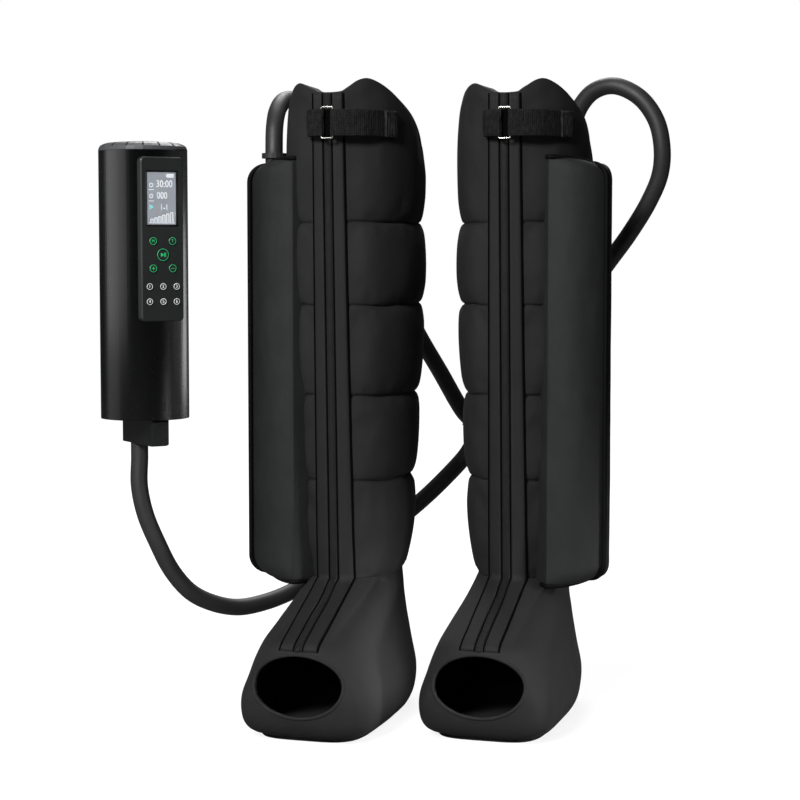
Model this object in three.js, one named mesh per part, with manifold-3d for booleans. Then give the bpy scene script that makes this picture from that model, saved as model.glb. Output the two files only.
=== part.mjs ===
// Air compression leg massager: two padded boots, their hoses and a round hand controller.
// Millimetres, +Z up. The origin lies on the floor under the left boot's leg axis, toes along -Y.
import * as THREE from "three";
import { mergeVertices } from "three/addons/utils/BufferGeometryUtils.js";
import Module from "manifold-3d";

const wasm = await Module();
wasm.setup();

// Driving dimensions of the boots
const RIGHT_BOOT_X = 184;
const RIGHT_BOOT_Y = 58;
const ANKLE_Z = 160;
const CHAMBER_HEIGHTS = [110, 95, 101, 91, 144];
const LEG_WALL = 13;
const COVER_CLOTH = 4.5;
const CHAMBER_BULGE = 5;
const FOOT_WALL = 10;
const SOLE_THICKNESS = 3;
const TOE_OPENING_HALF_WIDTH = 51;
const TOE_OPENING_HALF_HEIGHT = 34;
const TOE_OPENING_Z = 62;
const FIT = 0.3;
const WALL_COLUMNS = 20;
const WALL_ROWS = 4;
const FOOT_SIDES = 24;

// Driving dimensions of the zip fastener and the closing strap
const ZIP_SLIT_HALF = 6.5;
const ZIP_COIL_WIDTH = 9;
const ZIP_COIL_DEPTH = 3.2;
const PLACKET_HALF_TOP = 16.5;
const PLACKET_HALF_ANKLE = 20.5;
const TAPE_THICKNESS = 2;
const SLIDER_LENGTH = 17;
const SLIDER_WIDTH = 11;
const SLIDER_HEIGHT = 2.4;
const SLIDER_DROP = 30;
const PULL_LENGTH = 20;
const PULL_WIDTH = 7;
const PULL_THICKNESS = 1.4;
const STRAP_DROP = 36;
const STRAP_HEIGHT = 29;
const STRAP_THICKNESS = 2.2;
const STRAP_END_ANGLE = 57;
const RING_WIRE = 2.6;
const RING_WIDTH = 13;
const RING_PLAY = 0.6;

// Driving dimensions of the side cover and the air pipe beneath it
const COVER_ANGLE = 60;
const COVER_BELOW_ANKLE = 7;
const COVER_ABOVE_PIPE = 22;
const COVER_WIDTH = 62;
const COVER_DEPTH_OVER_PIPE = 29;
const COVER_CORNER = 20;
const COVER_SKIN = 3.5;
const COVER_FLAP = 19.6;
const FLAP_DROP = 4.5;
const FLAP_LEAN = 12;
const FLAP_TANGENT = 30;
const PIPE_RADIUS = 7;
const PIPE_STANDOFF = 5.36;
const PIPE_ABOVE_SEAM = 51;
const HOSE_RADIUS = 10;
const HOSE_PLAY = 0.8;

// Driving dimensions of the controller
const CONTROLLER_X = -232.4;
const CONTROLLER_Y = -73.3;
const CONTROLLER_YAW = 47.5;
const CONTROLLER_RADIUS = 50.5;
const CONTROLLER_BOTTOM_Z = 335;
const CONTROLLER_BODY_HEIGHT = 304;
const CASE_WALL = 2.6;
const CAP_HEIGHT = 11;
const CAP_NOTCHES = 16;
const PANEL_WIDTH = 51;
const PANEL_PROUD = 3.5;
const PANEL_DEPTH = 16;
const PANEL_CORNER = 5;
const PANEL_DROP = 8;
const WINDOW_WIDTH = 39;
const WINDOW_HEIGHT = 62.6;
const WINDOW_DROP = 15.1;
const WINDOW_THICKNESS = 1.6;
const LAST_ROW_MARGIN = 22.3;
const BUTTON_PROUD = 1.5;
const BUTTON_TRAVEL = 0.8;
const BUTTON_GAP = 0.35;
const PLUG_INSET = 5.5;
const PLUG_WIDTH = 21;
const PLUG_HEIGHT = 30;
const PLUG_SPIGOT = 20;

// Each button: name, sideways place, how far below the window it sits, and radius
const BUTTONS = [
  ["button_mode", -11.7, 16.3, 5],
  ["button_time", 11.7, 16.3, 5],
  ["button_play", 0, 31.6, 7.6],
  ["button_plus", -11.7, 46.8, 5],
  ["button_minus", 11.7, 46.8, 5],
  ["button_chamber_1", -16.3, 67.1, 4.3],
  ["button_chamber_2", 0, 67.1, 4.3],
  ["button_chamber_3", 16.3, 67.1, 4.3],
  ["button_chamber_4", -16.3, 84, 4.3],
  ["button_chamber_5", 0, 84, 4.3],
  ["button_chamber_6", 16.3, 84, 4.3],
];

// The heights of the seams below each air chamber, from the ankle up, and of the rim above the highest one
const SEAMS = [ANKLE_Z];
for (const rise of CHAMBER_HEIGHTS.slice(0, -1)) {
  SEAMS.push(SEAMS.at(-1) + rise);
}
const RIM_FRONT_Z = SEAMS.at(-1) + CHAMBER_HEIGHTS.at(-1);
const STRAP_Z = RIM_FRONT_Z - STRAP_DROP;
const SLIDER_PARK_Z = RIM_FRONT_Z - SLIDER_DROP;
const RING_HEIGHT = STRAP_HEIGHT + 2 * (RING_WIRE + RING_PLAY);

// Materials
const material = (colour, roughness, metalness = 0) =>
  new THREE.MeshStandardMaterial({ color: colour, roughness, metalness });
const cloth = material(0x2c2c2e, 0.85);
const lining = material(0x151516, 0.9);
const bladder = material(0x3a3b3e, 0.6);
const piping = material(0x0a0a0b, 0.7);
const webbing = material(0x1b1b1c, 0.9);
const steel = material(0xb8b6b0, 0.25, 1);
const darkZip = material(0x141414, 0.5);
const hoseSkin = material(0x2b2b2b, 0.6);
const casing = material(0x2a2c2d, 0.35);
const gloss = material(0x9a9ba0, 0.15, 0.4);
const panelSkin = material(0x3a3c3c, 0.4);
const glass = material(0xb4bac0, 0.1);
const boardGreen = material(0x1d5a3a, 0.6);
const cellBlue = material(0x35507c, 0.5);
const pumpGrey = material(0x8c8f92, 0.4, 0.6);

const rad = THREE.MathUtils.degToRad;
const lerp = THREE.MathUtils.lerp;

// A closed geometry as a solid that can be joined and cut, with its faces turned outwards
function solid(geometry) {
  const bare = geometry.clone();
  bare.deleteAttribute("normal");
  bare.deleteAttribute("uv");
  const merged = mergeVertices(bare, 1e-3);
  const points = merged.attributes.position;
  const corners = Uint32Array.from(merged.index.array);
  const at = (i) => new THREE.Vector3().fromBufferAttribute(points, corners[i]);
  let volume = 0;
  for (let i = 0; i < corners.length; i += 3) {
    volume += at(i).dot(at(i + 1).cross(at(i + 2)));
  }
  if (volume < 0) {
    for (let i = 0; i < corners.length; i += 3) {
      [corners[i + 1], corners[i + 2]] = [corners[i + 2], corners[i + 1]];
    }
  }
  const vertProperties = Float32Array.from(points.array);
  return new wasm.Manifold(new wasm.Mesh({ numProp: 3, vertProperties, triVerts: corners }));
}

function geometryOf(shape) {
  const mesh = shape.getMesh();
  const geometry = new THREE.BufferGeometry();
  geometry.setAttribute("position", new THREE.BufferAttribute(mesh.vertProperties, 3));
  geometry.setIndex(new THREE.BufferAttribute(mesh.triVerts, 1));
  geometry.computeVertexNormals();
  return geometry;
}

function cut(body, ...tools) {
  return tools.reduce((left, tool) => left.subtract(tool), body);
}

function join(body, ...parts) {
  return parts.reduce((all, part) => all.add(part), body);
}

// A block by its size and centre
function block(sizeX, sizeY, sizeZ, x, y, z) {
  return solid(new THREE.BoxGeometry(sizeX, sizeY, sizeZ).translate(x, y, z));
}

// A round bar along Z, from one height to another
function post(radius, low, high, x = 0, y = 0, sides = 24) {
  const column = new THREE.CylinderGeometry(radius, radius, high - low, sides);
  return solid(column.rotateX(Math.PI / 2).translate(x, y, (low + high) / 2));
}

// A round bar along -Y, from one depth to another
function bar(radius, from, to, x, z, sides = 24) {
  const rod = new THREE.CylinderGeometry(radius, radius, Math.abs(to - from), sides);
  return solid(rod.translate(x, (from + to) / 2, z));
}

// An outline in plan, raised from one height to another
function prism(shape, low, high, curveSegments = 8) {
  const options = { depth: high - low, bevelEnabled: false, curveSegments };
  return solid(new THREE.ExtrudeGeometry(shape, options).translate(0, 0, low));
}

// A rectangle with round corners, about the origin
function roundedRectangle(width, height, radius) {
  const shape = new THREE.Shape();
  const x = width / 2;
  const y = height / 2;
  shape.moveTo(-x + radius, -y);
  shape.lineTo(x - radius, -y);
  shape.absarc(x - radius, -y + radius, radius, -Math.PI / 2, 0);
  shape.absarc(x - radius, y - radius, radius, 0, Math.PI / 2);
  shape.absarc(-x + radius, y - radius, radius, Math.PI / 2, Math.PI);
  shape.absarc(-x + radius, -y + radius, radius, Math.PI, Math.PI * 1.5);
  return shape;
}

// A closed skin between two grids of points of one size, such as a wall or a band of cloth
function sheet(outer, inner) {
  const rows = outer.length;
  const columns = outer[0].length;
  const points = [...outer.flat(), ...inner.flat()];
  const faces = [];
  const at = (side, row, column) => side * rows * columns + row * columns + column;
  const quad = (a, b, c, d) => faces.push(a, b, c, a, c, d);
  for (let row = 0; row + 1 < rows; row++) {
    for (let column = 0; column + 1 < columns; column++) {
      quad(at(0, row, column), at(0, row, column + 1), at(0, row + 1, column + 1), at(0, row + 1, column));
      quad(at(1, row, column), at(1, row + 1, column), at(1, row + 1, column + 1), at(1, row, column + 1));
    }
    quad(at(0, row, 0), at(0, row + 1, 0), at(1, row + 1, 0), at(1, row, 0));
    quad(
      at(0, row, columns - 1), at(1, row, columns - 1),
      at(1, row + 1, columns - 1), at(0, row + 1, columns - 1),
    );
  }
  for (let column = 0; column + 1 < columns; column++) {
    quad(at(0, 0, column), at(1, 0, column), at(1, 0, column + 1), at(0, 0, column + 1));
    quad(
      at(0, rows - 1, column), at(0, rows - 1, column + 1),
      at(1, rows - 1, column + 1), at(1, rows - 1, column),
    );
  }
  return closedGeometry(points, faces);
}

// A closed body through a stack of rings of one count, with a fan over each end
function loft(rings) {
  const count = rings[0].length;
  const points = rings.flat();
  const faces = [];
  for (let ring = 0; ring + 1 < rings.length; ring++) {
    for (let i = 0; i < count; i++) {
      const j = (i + 1) % count;
      const a = ring * count;
      const b = a + count;
      faces.push(a + i, a + j, b + j, a + i, b + j, b + i);
    }
  }
  const last = (rings.length - 1) * count;
  for (let i = 1; i + 1 < count; i++) {
    faces.push(0, i + 1, i);
    faces.push(last, last + i, last + i + 1);
  }
  return closedGeometry(points, faces);
}

function closedGeometry(points, faces) {
  const geometry = new THREE.BufferGeometry().setFromPoints(points);
  geometry.setIndex(faces);
  return geometry;
}

const product = new THREE.Group();

function place(group, name, shape, skin) {
  const mesh = new THREE.Mesh(geometryOf(shape.isBufferGeometry ? solid(shape) : shape), skin);
  mesh.name = name;
  group.add(mesh);
  return mesh;
}

// Plan sections of the boot from the sole up. Each is a squared oval about the leg axis: its height,
// half width, reach behind and in front, the depth of its widest line, and how square its toe and heel are.
const FOOT_SECTIONS = [
  [3, 60, 78, 186, -105, 4, 2.6],
  [9, 68, 86, 195, -110, 5, 2.6],
  [22, 73, 92, 201, -110, 6, 2.6],
  [45, 74, 95, 203, -110, 6, 2.6],
  [70, 69, 95, 202, -100, 4.5, 2.5],
  [ANKLE_Z - 68, 64, 93, 200, -85, 3.4, 2.4],
  [ANKLE_Z - 56, 61, 92, 194, -70, 3, 2.3],
  [ANKLE_Z - 43, 58, 90, 168, -50, 2.6, 2.2],
  [ANKLE_Z - 29, 55, 88, 140, -30, 2.3, 2.1],
  [ANKLE_Z - 15, 52.5, 85, 111, -12, 2.1, 2],
  [ANKLE_Z, 49.5, 80, 80, 0, 2, 2],
];
const LEG_SECTIONS = [
  [ANKLE_Z, 49.5, 80, 80, 0, 2, 2],
  [ANKLE_Z + 55, 57.5, 86, 82, 0, 2, 2],
  [ANKLE_Z + 110, 60.5, 90, 84, 0, 2, 2],
  [ANKLE_Z + 206, 65.5, 95, 87.5, 0, 2, 2],
  [ANKLE_Z + 308, 70.5, 98, 91.4, 0, 2, 2],
  [ANKLE_Z + 480, 70, 100, 97.7, 0, 2, 2],
  [ANKLE_Z + 580, 68, 100, 101.4, 0, 2, 2],
];

// How far the boot's top edge rises above its front, by the angle from the front, in degrees
const RIM = [
  [-180, -61], [-110, -51], [-80, -23], [-62, -3], [-45, 8], [-32, 11], [-20, 5], [-10, 0],
  [12, 0], [19, 5], [27, 12], [36, 15], [46, 11], [57, 3], [68, -7], [84, -21], [100, -37],
  [115, -49], [180, -61],
];

function between(table, value) {
  const last = table.length - 2;
  const index = Math.min(last, Math.max(0, table.findIndex((row) => row[0] >= value) - 1));
  const share = (value - table[index][0]) / (table[index + 1][0] - table[index][0]);
  return table[index].map((entry, i) => lerp(entry, table[index + 1][i], share));
}

function sectionAt(height) {
  const table = height > ANKLE_Z ? LEG_SECTIONS : FOOT_SECTIONS;
  const [, wide, back, front, middle, toe, heel] = between(table, height);
  return { wide, back, front, middle, toe, heel };
}

const signedPower = (value, power) => Math.sign(value) * Math.abs(value) ** power;

// A point of a section's outline, at an angle from the front, moved out square to the outline
function outlinePoint(section, degrees, out) {
  const angle = rad(degrees);
  const square = Math.cos(angle) > 0 ? section.toe : section.heel;
  const reach = Math.cos(angle) > 0 ? section.front + section.middle : section.back - section.middle;
  const side = signedPower(Math.sin(angle), 2 / square);
  const along = signedPower(Math.cos(angle), 2 / square);
  const normal = new THREE.Vector2(
    signedPower(side, square - 1) / section.wide,
    -signedPower(along, square - 1) / reach,
  ).normalize();
  return new THREE.Vector2(
    section.wide * side + normal.x * out,
    section.middle - reach * along + normal.y * out,
  );
}

// How far a chamber swells at a height: nothing at its seams and most half way between them
function swell(height, degrees, rim) {
  const edges = [...SEAMS, rim];
  const low = edges.findLastIndex((edge) => edge <= height + 1e-6);
  if (low < 0 || low + 1 >= edges.length) {
    return 0;
  }
  const share = (height - edges[low]) / (edges[low + 1] - edges[low]);
  const aside = Math.abs(degrees) > 90 ? 90 : sectionAt(height).wide * Math.sin(rad(Math.abs(degrees)));
  const fade = THREE.MathUtils.smoothstep(aside, PLACKET_HALF_ANKLE + 1, 42);
  return Math.sin(Math.PI * share) ** 0.7 * fade;
}

// Rows of points over one face of the leg's wall. The wall is open at the front between the two slit edges.
function legWall(out, puff, rowsPerChamber, lowGap, rimGap = 0) {
  const grid = [];
  for (let chamber = 0; chamber < SEAMS.length; chamber++) {
    const first = chamber === 0 ? 0 : 1;
    for (let step = first; step <= rowsPerChamber; step++) {
      const row = [];
      const frontHeight = lerp(SEAMS[chamber], SEAMS[chamber + 1] ?? RIM_FRONT_Z, step / rowsPerChamber);
      const slit = THREE.MathUtils.radToDeg(Math.asin(ZIP_SLIT_HALF / sectionAt(frontHeight).wide));
      for (let column = 0; column <= WALL_COLUMNS; column++) {
        const degrees = lerp(slit, 360 - slit, column / WALL_COLUMNS);
        const turned = degrees > 180 ? degrees - 360 : degrees;
        const rim = RIM_FRONT_Z + between(RIM, turned)[1] - 1.5 - rimGap;
        const low = SEAMS[chamber] + (chamber === 0 ? lowGap : 0);
        const high = SEAMS[chamber + 1] ?? rim;
        const height = lerp(low, high, step / rowsPerChamber);
        const point = outlinePoint(sectionAt(height), turned, out + puff * swell(height, turned, rim));
        row.push(new THREE.Vector3(point.x, point.y, height));
      }
      grid.push(row);
    }
  }
  return grid;
}

// Half the length of the round tool that cuts the toe opening
const TUNNEL_HALF_LENGTH = 40;

// The foot part: a squared shoe form, hollowed, open at the ankle, at the toes and along the instep slit

function footRing(height, inset, frontInset, section = sectionAt(height)) {
  const drawn = {
    ...section,
    wide: section.wide - inset,
    back: section.back - inset,
    front: section.front - frontInset,
  };
  return Array.from({ length: FOOT_SIDES }, (_, i) => {
    const point = outlinePoint(drawn, (i * 360) / FOOT_SIDES - 180, 0);
    return new THREE.Vector3(point.x, point.y, height);
  });
}

// The filled outside of leg and ankle, grown by a clearance, that trims whatever sits against the boot
function filledBoot(clearance) {
  const rows = legWall(clearance, CHAMBER_BULGE, WALL_ROWS, FIT);
  const top = rows.at(-1).map((point) => new THREE.Vector3(point.x, point.y, RIM_FRONT_Z + 60));
  const ankle = [ANKLE_Z - 29, ANKLE_Z - 15, ANKLE_Z + FIT].map((height) => {
    const section = sectionAt(Math.min(height, ANKLE_Z));
    return footRing(height, -clearance, -clearance, section);
  });
  return join(solid(loft([...rows, top])), solid(loft(ankle)));
}

function footShell() {
  const heights = FOOT_SECTIONS.map((row) => row[0]);
  const outer = heights.map((height, i) => {
    const lift = i === 0 ? SOLE_THICKNESS + FIT - height : 0;
    return footRing(height + lift, 0, 0, sectionAt(height));
  });
  const floor = SOLE_THICKNESS + FOOT_WALL;
  const ankleHeights = [-68, -40, -15, 10].map((drop) => ANKLE_Z + drop);
  const innerHeights = [floor, floor + 11, floor + 33, floor + 57, ...ankleHeights];
  const rise = FOOT_WALL * 1.1;
  const inner = innerHeights.map((height) => {
    const section = sectionAt(Math.min(height, ANKLE_Z));
    const above = sectionAt(Math.min(height + rise, ANKLE_Z));
    const front = Math.min(section.front, above.front);
    return footRing(height, FOOT_WALL, FOOT_WALL * 0.6, { ...section, front });
  });
  const toeDepth = -sectionAt(TOE_OPENING_Z).front;
  const tunnel = new THREE.CylinderGeometry(1, 1, 2 * TUNNEL_HALF_LENGTH, 24);
  tunnel.scale(TOE_OPENING_HALF_WIDTH, 1, TOE_OPENING_HALF_HEIGHT);
  tunnel.translate(0, toeDepth + TUNNEL_HALF_LENGTH - 13, TOE_OPENING_Z);
  const slitHigh = ANKLE_Z + 27 - TOE_OPENING_Z;
  const slitLong = sectionAt(TOE_OPENING_Z).front - 22;
  const slitY = toeDepth - 28 + slitLong / 2;
  const slit = block(2 * ZIP_SLIT_HALF, slitLong, slitHigh, 0, slitY, TOE_OPENING_Z + slitHigh / 2);
  return cut(solid(loft(outer)), solid(loft(inner)), solid(tunnel), slit);
}

function solePanel() {
  const section = sectionAt(FOOT_SECTIONS[0][0]);
  return solid(loft([footRing(0, 1.5, 1.5, section), footRing(SOLE_THICKNESS, 0, 0, section)]));
}

// The zip's line down the front: straight on the leg, then a bend and the instep down to the toe opening.
// Each stop is a depth and height on the outside of the boot, with the way that the surface faces there.
function zipLine() {
  const legTop = RIM_FRONT_Z - 3;
  const leg = LEG_SECTIONS.slice(1).map((row) => row[0]).filter((z) => z < legTop - 10).reverse();
  const instep = FOOT_SECTIONS.slice(-5, -1).map((row) => row[0]).reverse();
  const heights = [legTop, ...leg, ANKLE_Z + 8, ANKLE_Z - 5, ...instep];
  const line = heights.map((z) => new THREE.Vector2(-sectionAt(z).front, z));
  return line.map((point, i) => {
    const before = line[Math.max(0, i - 1)];
    const after = line[Math.min(line.length - 1, i + 1)];
    const along = after.clone().sub(before).normalize();
    return { point, facing: new THREE.Vector2(along.y, -along.x) };
  });
}

// A strip laid along the zip's line between two sideways places, over a range of heights off the surface
function zipStrip(left, right, low, high) {
  const line = zipLine();
  const grid = (out) =>
    line.map(({ point, facing }) => {
      const z = point.y;
      const share = Math.min(1, (RIM_FRONT_Z - z) / (RIM_FRONT_Z - ANKLE_Z - 8));
      const section = sectionAt(z);
      return [left(share), (left(share) + right(share)) / 2, right(share)].map((x) => {
        const part = Math.abs(x / section.wide) ** section.toe;
        const recede = (section.front + section.middle) * (1 - (1 - part) ** (1 / section.toe));
        return new THREE.Vector3(x, point.x + facing.x * out + recede, z + facing.y * out);
      });
    });
  return solid(sheet(grid(high), grid(low)));
}

// A band of the strap's webbing that follows a path in plan, upright at the strap's height
function band(path) {
  const grid = (out) =>
    path.map((point, i) => {
      const before = path[Math.max(0, i - 1)];
      const after = path[Math.min(path.length - 1, i + 1)];
      const along = after.clone().sub(before).normalize();
      const moved = point.clone().add(new THREE.Vector2(along.y, -along.x).multiplyScalar(out));
      return [-1, 1].map((way) => new THREE.Vector3(moved.x, moved.y, STRAP_Z + (way * STRAP_HEIGHT) / 2));
    });
  return solid(sheet(grid(STRAP_THICKNESS / 2), grid(-STRAP_THICKNESS / 2)));
}

// Parts of the zip's slider that its pull hangs on
const ZIP_LIFT = 2.6;
const SLIDER_BASE = ZIP_LIFT + 0.5;
const BRIDGE_WIDTH = 1.8;
const BRIDGE_LEG = 1.4;
const BRIDGE_OPENING = 4.4;
const BRIDGE_TOP = SLIDER_HEIGHT + 3.2;
const HINGE_HEIGHT = SLIDER_HEIGHT + 1.3;

function zipSlider() {
  const plate = new THREE.ExtrudeGeometry(roundedRectangle(SLIDER_WIDTH, SLIDER_LENGTH, 4), {
    depth: SLIDER_HEIGHT - 0.6, bevelEnabled: true, bevelThickness: 0.3, bevelSize: 0.3, bevelOffset: -0.3,
    bevelSegments: 1, curveSegments: 2,
  }).translate(0, 0, 0.3);
  const outside = BRIDGE_OPENING + 2 * BRIDGE_LEG;
  const arch = block(BRIDGE_WIDTH, outside, BRIDGE_TOP - 1, 0, 0, (BRIDGE_TOP + 1) / 2);
  const gap = block(BRIDGE_WIDTH + 2, BRIDGE_OPENING, 2.6, 0, 0, HINGE_HEIGHT);
  return join(solid(plate), cut(arch, gap));
}

function zipPull() {
  const plate = new THREE.Shape();
  const half = PULL_WIDTH / 2;
  plate.moveTo(-half, 0.9);
  plate.lineTo(-half, 2 - PULL_LENGTH);
  plate.absarc(0, 2 - PULL_LENGTH, half, Math.PI, 2 * Math.PI);
  plate.lineTo(half, 0.9);
  const eye = new THREE.Path();
  const eyeHalf = PULL_WIDTH / 2 - 1;
  eye.moveTo(-eyeHalf, -0.9);
  eye.lineTo(eyeHalf, -0.9);
  eye.lineTo(eyeHalf, -4.8);
  eye.lineTo(-eyeHalf, -4.8);
  plate.holes.push(eye);
  const options = { depth: PULL_THICKNESS, bevelEnabled: false, curveSegments: 6 };
  return new THREE.ExtrudeGeometry(plate, options).translate(0, 0, HINGE_HEIGHT - PULL_THICKNESS / 2);
}

// The line of the strap in plan at its own height, as points off the boot's outline
function strapPoint(degrees, out) {
  const puff = CHAMBER_BULGE * swell(STRAP_Z - STRAP_HEIGHT / 2, degrees, RIM_FRONT_Z);
  return outlinePoint(sectionAt(STRAP_Z), degrees, out + puff);
}

const RING_OUT = 13.5;
const RING_X = 4;
const ringDepth = () => strapPoint(0, RING_OUT).y;

function ringBar(side) {
  return new THREE.Vector2(RING_X + side * (RING_WIDTH - RING_WIRE) / 2, ringDepth());
}

function strapRing() {
  const frame = roundedRectangle(RING_WIDTH, RING_HEIGHT, 2.4);
  frame.holes.push(roundedRectangle(RING_WIDTH - 2 * RING_WIRE, RING_HEIGHT - 2 * RING_WIRE, 0.8));
  const wire = new THREE.ExtrudeGeometry(frame, {
    depth: RING_WIRE - 1, bevelEnabled: true, bevelThickness: 0.5, bevelSize: 0.5, bevelOffset: -0.5,
    bevelSegments: 1, curveSegments: 1,
  }).translate(0, 0, 0.5 - RING_WIRE / 2);
  return wire.rotateX(Math.PI / 2).translate(RING_X, ringDepth(), STRAP_Z);
}

// A webbing loop: in along the boot, round one bar of the ring and back over itself
function webbingLoop(side, under, over) {
  const centre = ringBar(side);
  const turn = RING_WIRE / 2 + FIT + 0.5 + STRAP_THICKNESS / 2;
  const bend = [90, 60, 30, 0, -30, -60, -90].map((degrees) => {
    const angle = rad(degrees);
    return new THREE.Vector2(centre.x - side * turn * Math.cos(angle), centre.y + turn * Math.sin(angle));
  });
  return [...under, ...bend, ...over.reverse()];
}

function closingStrap() {
  const far = [STRAP_END_ANGLE, 48, 39, 30, 21];
  const under = far.map((degrees, i) => strapPoint(degrees, [2.2, 2.6, 3.4, 5.4, 8.6][i]));
  const over = far.map((degrees, i) => strapPoint(degrees, [4.8, 5.4, 7, 10.6, 14.6][i]));
  return band(webbingLoop(1, under, over));
}

function strapTab() {
  const from = -17;
  const under = [strapPoint(from, 2.4), strapPoint(-11, 6.8)];
  const over = [strapPoint(from, 5), strapPoint(-11, 12.8)];
  return band(webbingLoop(-1, under, over));
}

// The side cover stands out from the leg, upright, with round outer ends. Its back is half round, and
// its front runs on as a flat flap to a straight edge on the leg. It is drawn facing -Y and turned round
// the leg to its place.
function coverForm(width, reach, flap, front, base, low, high, corner) {
  const shoulder = reach - width * 0.6;
  const ends = [0, 45, 90].map((degrees) => {
    const angle = rad(degrees);
    return [corner * (1 - Math.cos(angle)), corner * (1 - Math.sin(angle))];
  });
  const stops = [
    ...ends.map(([rise, draw]) => [low + rise, draw]),
    ...ends.reverse().map(([rise, draw]) => [high - rise, draw]),
  ];
  return stops.map(([z, draw]) => {
    const crown = reach - draw - shoulder;
    const arc = Array.from({ length: 8 }, (_, i) => {
      const angle = rad(FLAP_TANGENT + ((180 - FLAP_TANGENT) * i) / 7);
      return [(width / 2) * Math.cos(angle), shoulder + crown * Math.sin(angle)];
    });
    const tip = width / 2 + flap;
    const plan = [[-width / 2, base], [tip - FLAP_LEAN, base], [tip, shoulder - FLAP_DROP], ...arc];
    const ring = plan.map(([aside, out]) => new THREE.Vector3(front * aside, -out, z));
    return front > 0 ? ring : ring.reverse();
  });
}

function turnedToSide(shape, side) {
  return solid(geometryOf(shape).rotateZ(side * rad(COVER_ANGLE)));
}

// The pipe stands off the filled leg by the hose's radius and a clearance, and the cover reaches out over it
const PIPE_TOP_Z = SEAMS.at(-1) + PIPE_ABOVE_SEAM;
const COVER_TOP_Z = PIPE_TOP_Z + COVER_ABOVE_PIPE;
const COVER_BOTTOM_Z = ANKLE_Z - COVER_BELOW_ANKLE;
const legAtPipe = sectionAt(PIPE_TOP_Z);
const [turnX, turnY] = [Math.sin(rad(COVER_ANGLE)), Math.cos(rad(COVER_ANGLE))];
const legReach = 1 / Math.hypot(turnX / legAtPipe.wide, turnY / legAtPipe.front);
const PIPE_REACH = legReach + CHAMBER_BULGE + HOSE_RADIUS + PIPE_STANDOFF;
const COVER_REACH = PIPE_REACH + COVER_DEPTH_OVER_PIPE;

function sideCover(side, hoseHole) {
  const outer = coverForm(
    COVER_WIDTH, COVER_REACH, COVER_FLAP, -side, 40, COVER_BOTTOM_Z, COVER_TOP_Z, COVER_CORNER,
  );
  const inner = coverForm(
    COVER_WIDTH - 2 * COVER_SKIN, COVER_REACH - COVER_SKIN, COVER_FLAP - 0.7 * COVER_SKIN, -side, 20,
    COVER_BOTTOM_Z + COVER_SKIN, COVER_TOP_Z - COVER_SKIN, COVER_CORNER - COVER_SKIN,
  );
  const hole = post(HOSE_RADIUS + HOSE_PLAY, COVER_TOP_Z - 20, COVER_TOP_Z + 5, 0, -PIPE_REACH, 16);
  const shell = cut(solid(loft(outer)), solid(loft(inner)), ...(hoseHole ? [hole] : []));
  return cut(turnedToSide(shell, side), filledBoot(FIT + 0.1));
}

// The upright air pipe behind the side cover, with one branch to the middle of each chamber
function airPipe(side) {
  const chambers = [...SEAMS, PIPE_TOP_Z + 20];
  const branches = SEAMS.map((seam, i) => {
    const height = (seam + chambers[i + 1]) / 2;
    return bar(PIPE_RADIUS * 0.6, -45, -PIPE_REACH, 0, height, 6);
  });
  const pipe = post(PIPE_RADIUS, COVER_BOTTOM_Z + 15, PIPE_TOP_Z, 0, -PIPE_REACH, 12);
  const collar = post(HOSE_RADIUS, PIPE_TOP_Z - 12, PIPE_TOP_Z, 0, -PIPE_REACH, 16);
  return cut(turnedToSide(join(pipe, collar, ...branches), side), filledBoot(FIT + 0.1));
}

// A ring that closes the cover's top round the hose
function coverGrommet(side) {
  const ring = cut(
    post(HOSE_RADIUS + 4, COVER_TOP_Z + FIT, COVER_TOP_Z + 6, 0, -PIPE_REACH, 20),
    post(HOSE_RADIUS + HOSE_PLAY, COVER_TOP_Z - 1, COVER_TOP_Z + 7, 0, -PIPE_REACH, 20),
  );
  return turnedToSide(ring, side);
}

// An upright socket on the back of the leg that takes the hose from above
const BACK_SOCKET_X = 26;
const BACK_SOCKET_Y = 118;
const BACK_SOCKET_Z = RIM_FRONT_Z - 89;
const BACK_SOCKET_HEIGHT = 44;
const BACK_SOCKET_WALL = 3;

function backSocket() {
  const radius = HOSE_RADIUS + BACK_SOCKET_WALL;
  const low = BACK_SOCKET_Z - BACK_SOCKET_HEIGHT;
  const middle = low + BACK_SOCKET_HEIGHT / 2;
  const root = block(2 * radius, 34, BACK_SOCKET_HEIGHT, BACK_SOCKET_X, BACK_SOCKET_Y - 10, middle);
  const mouth = post(radius, low, BACK_SOCKET_Z, BACK_SOCKET_X, BACK_SOCKET_Y, 20);
  return cut(join(root, mouth), filledBoot(FIT + 0.1));
}

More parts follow.
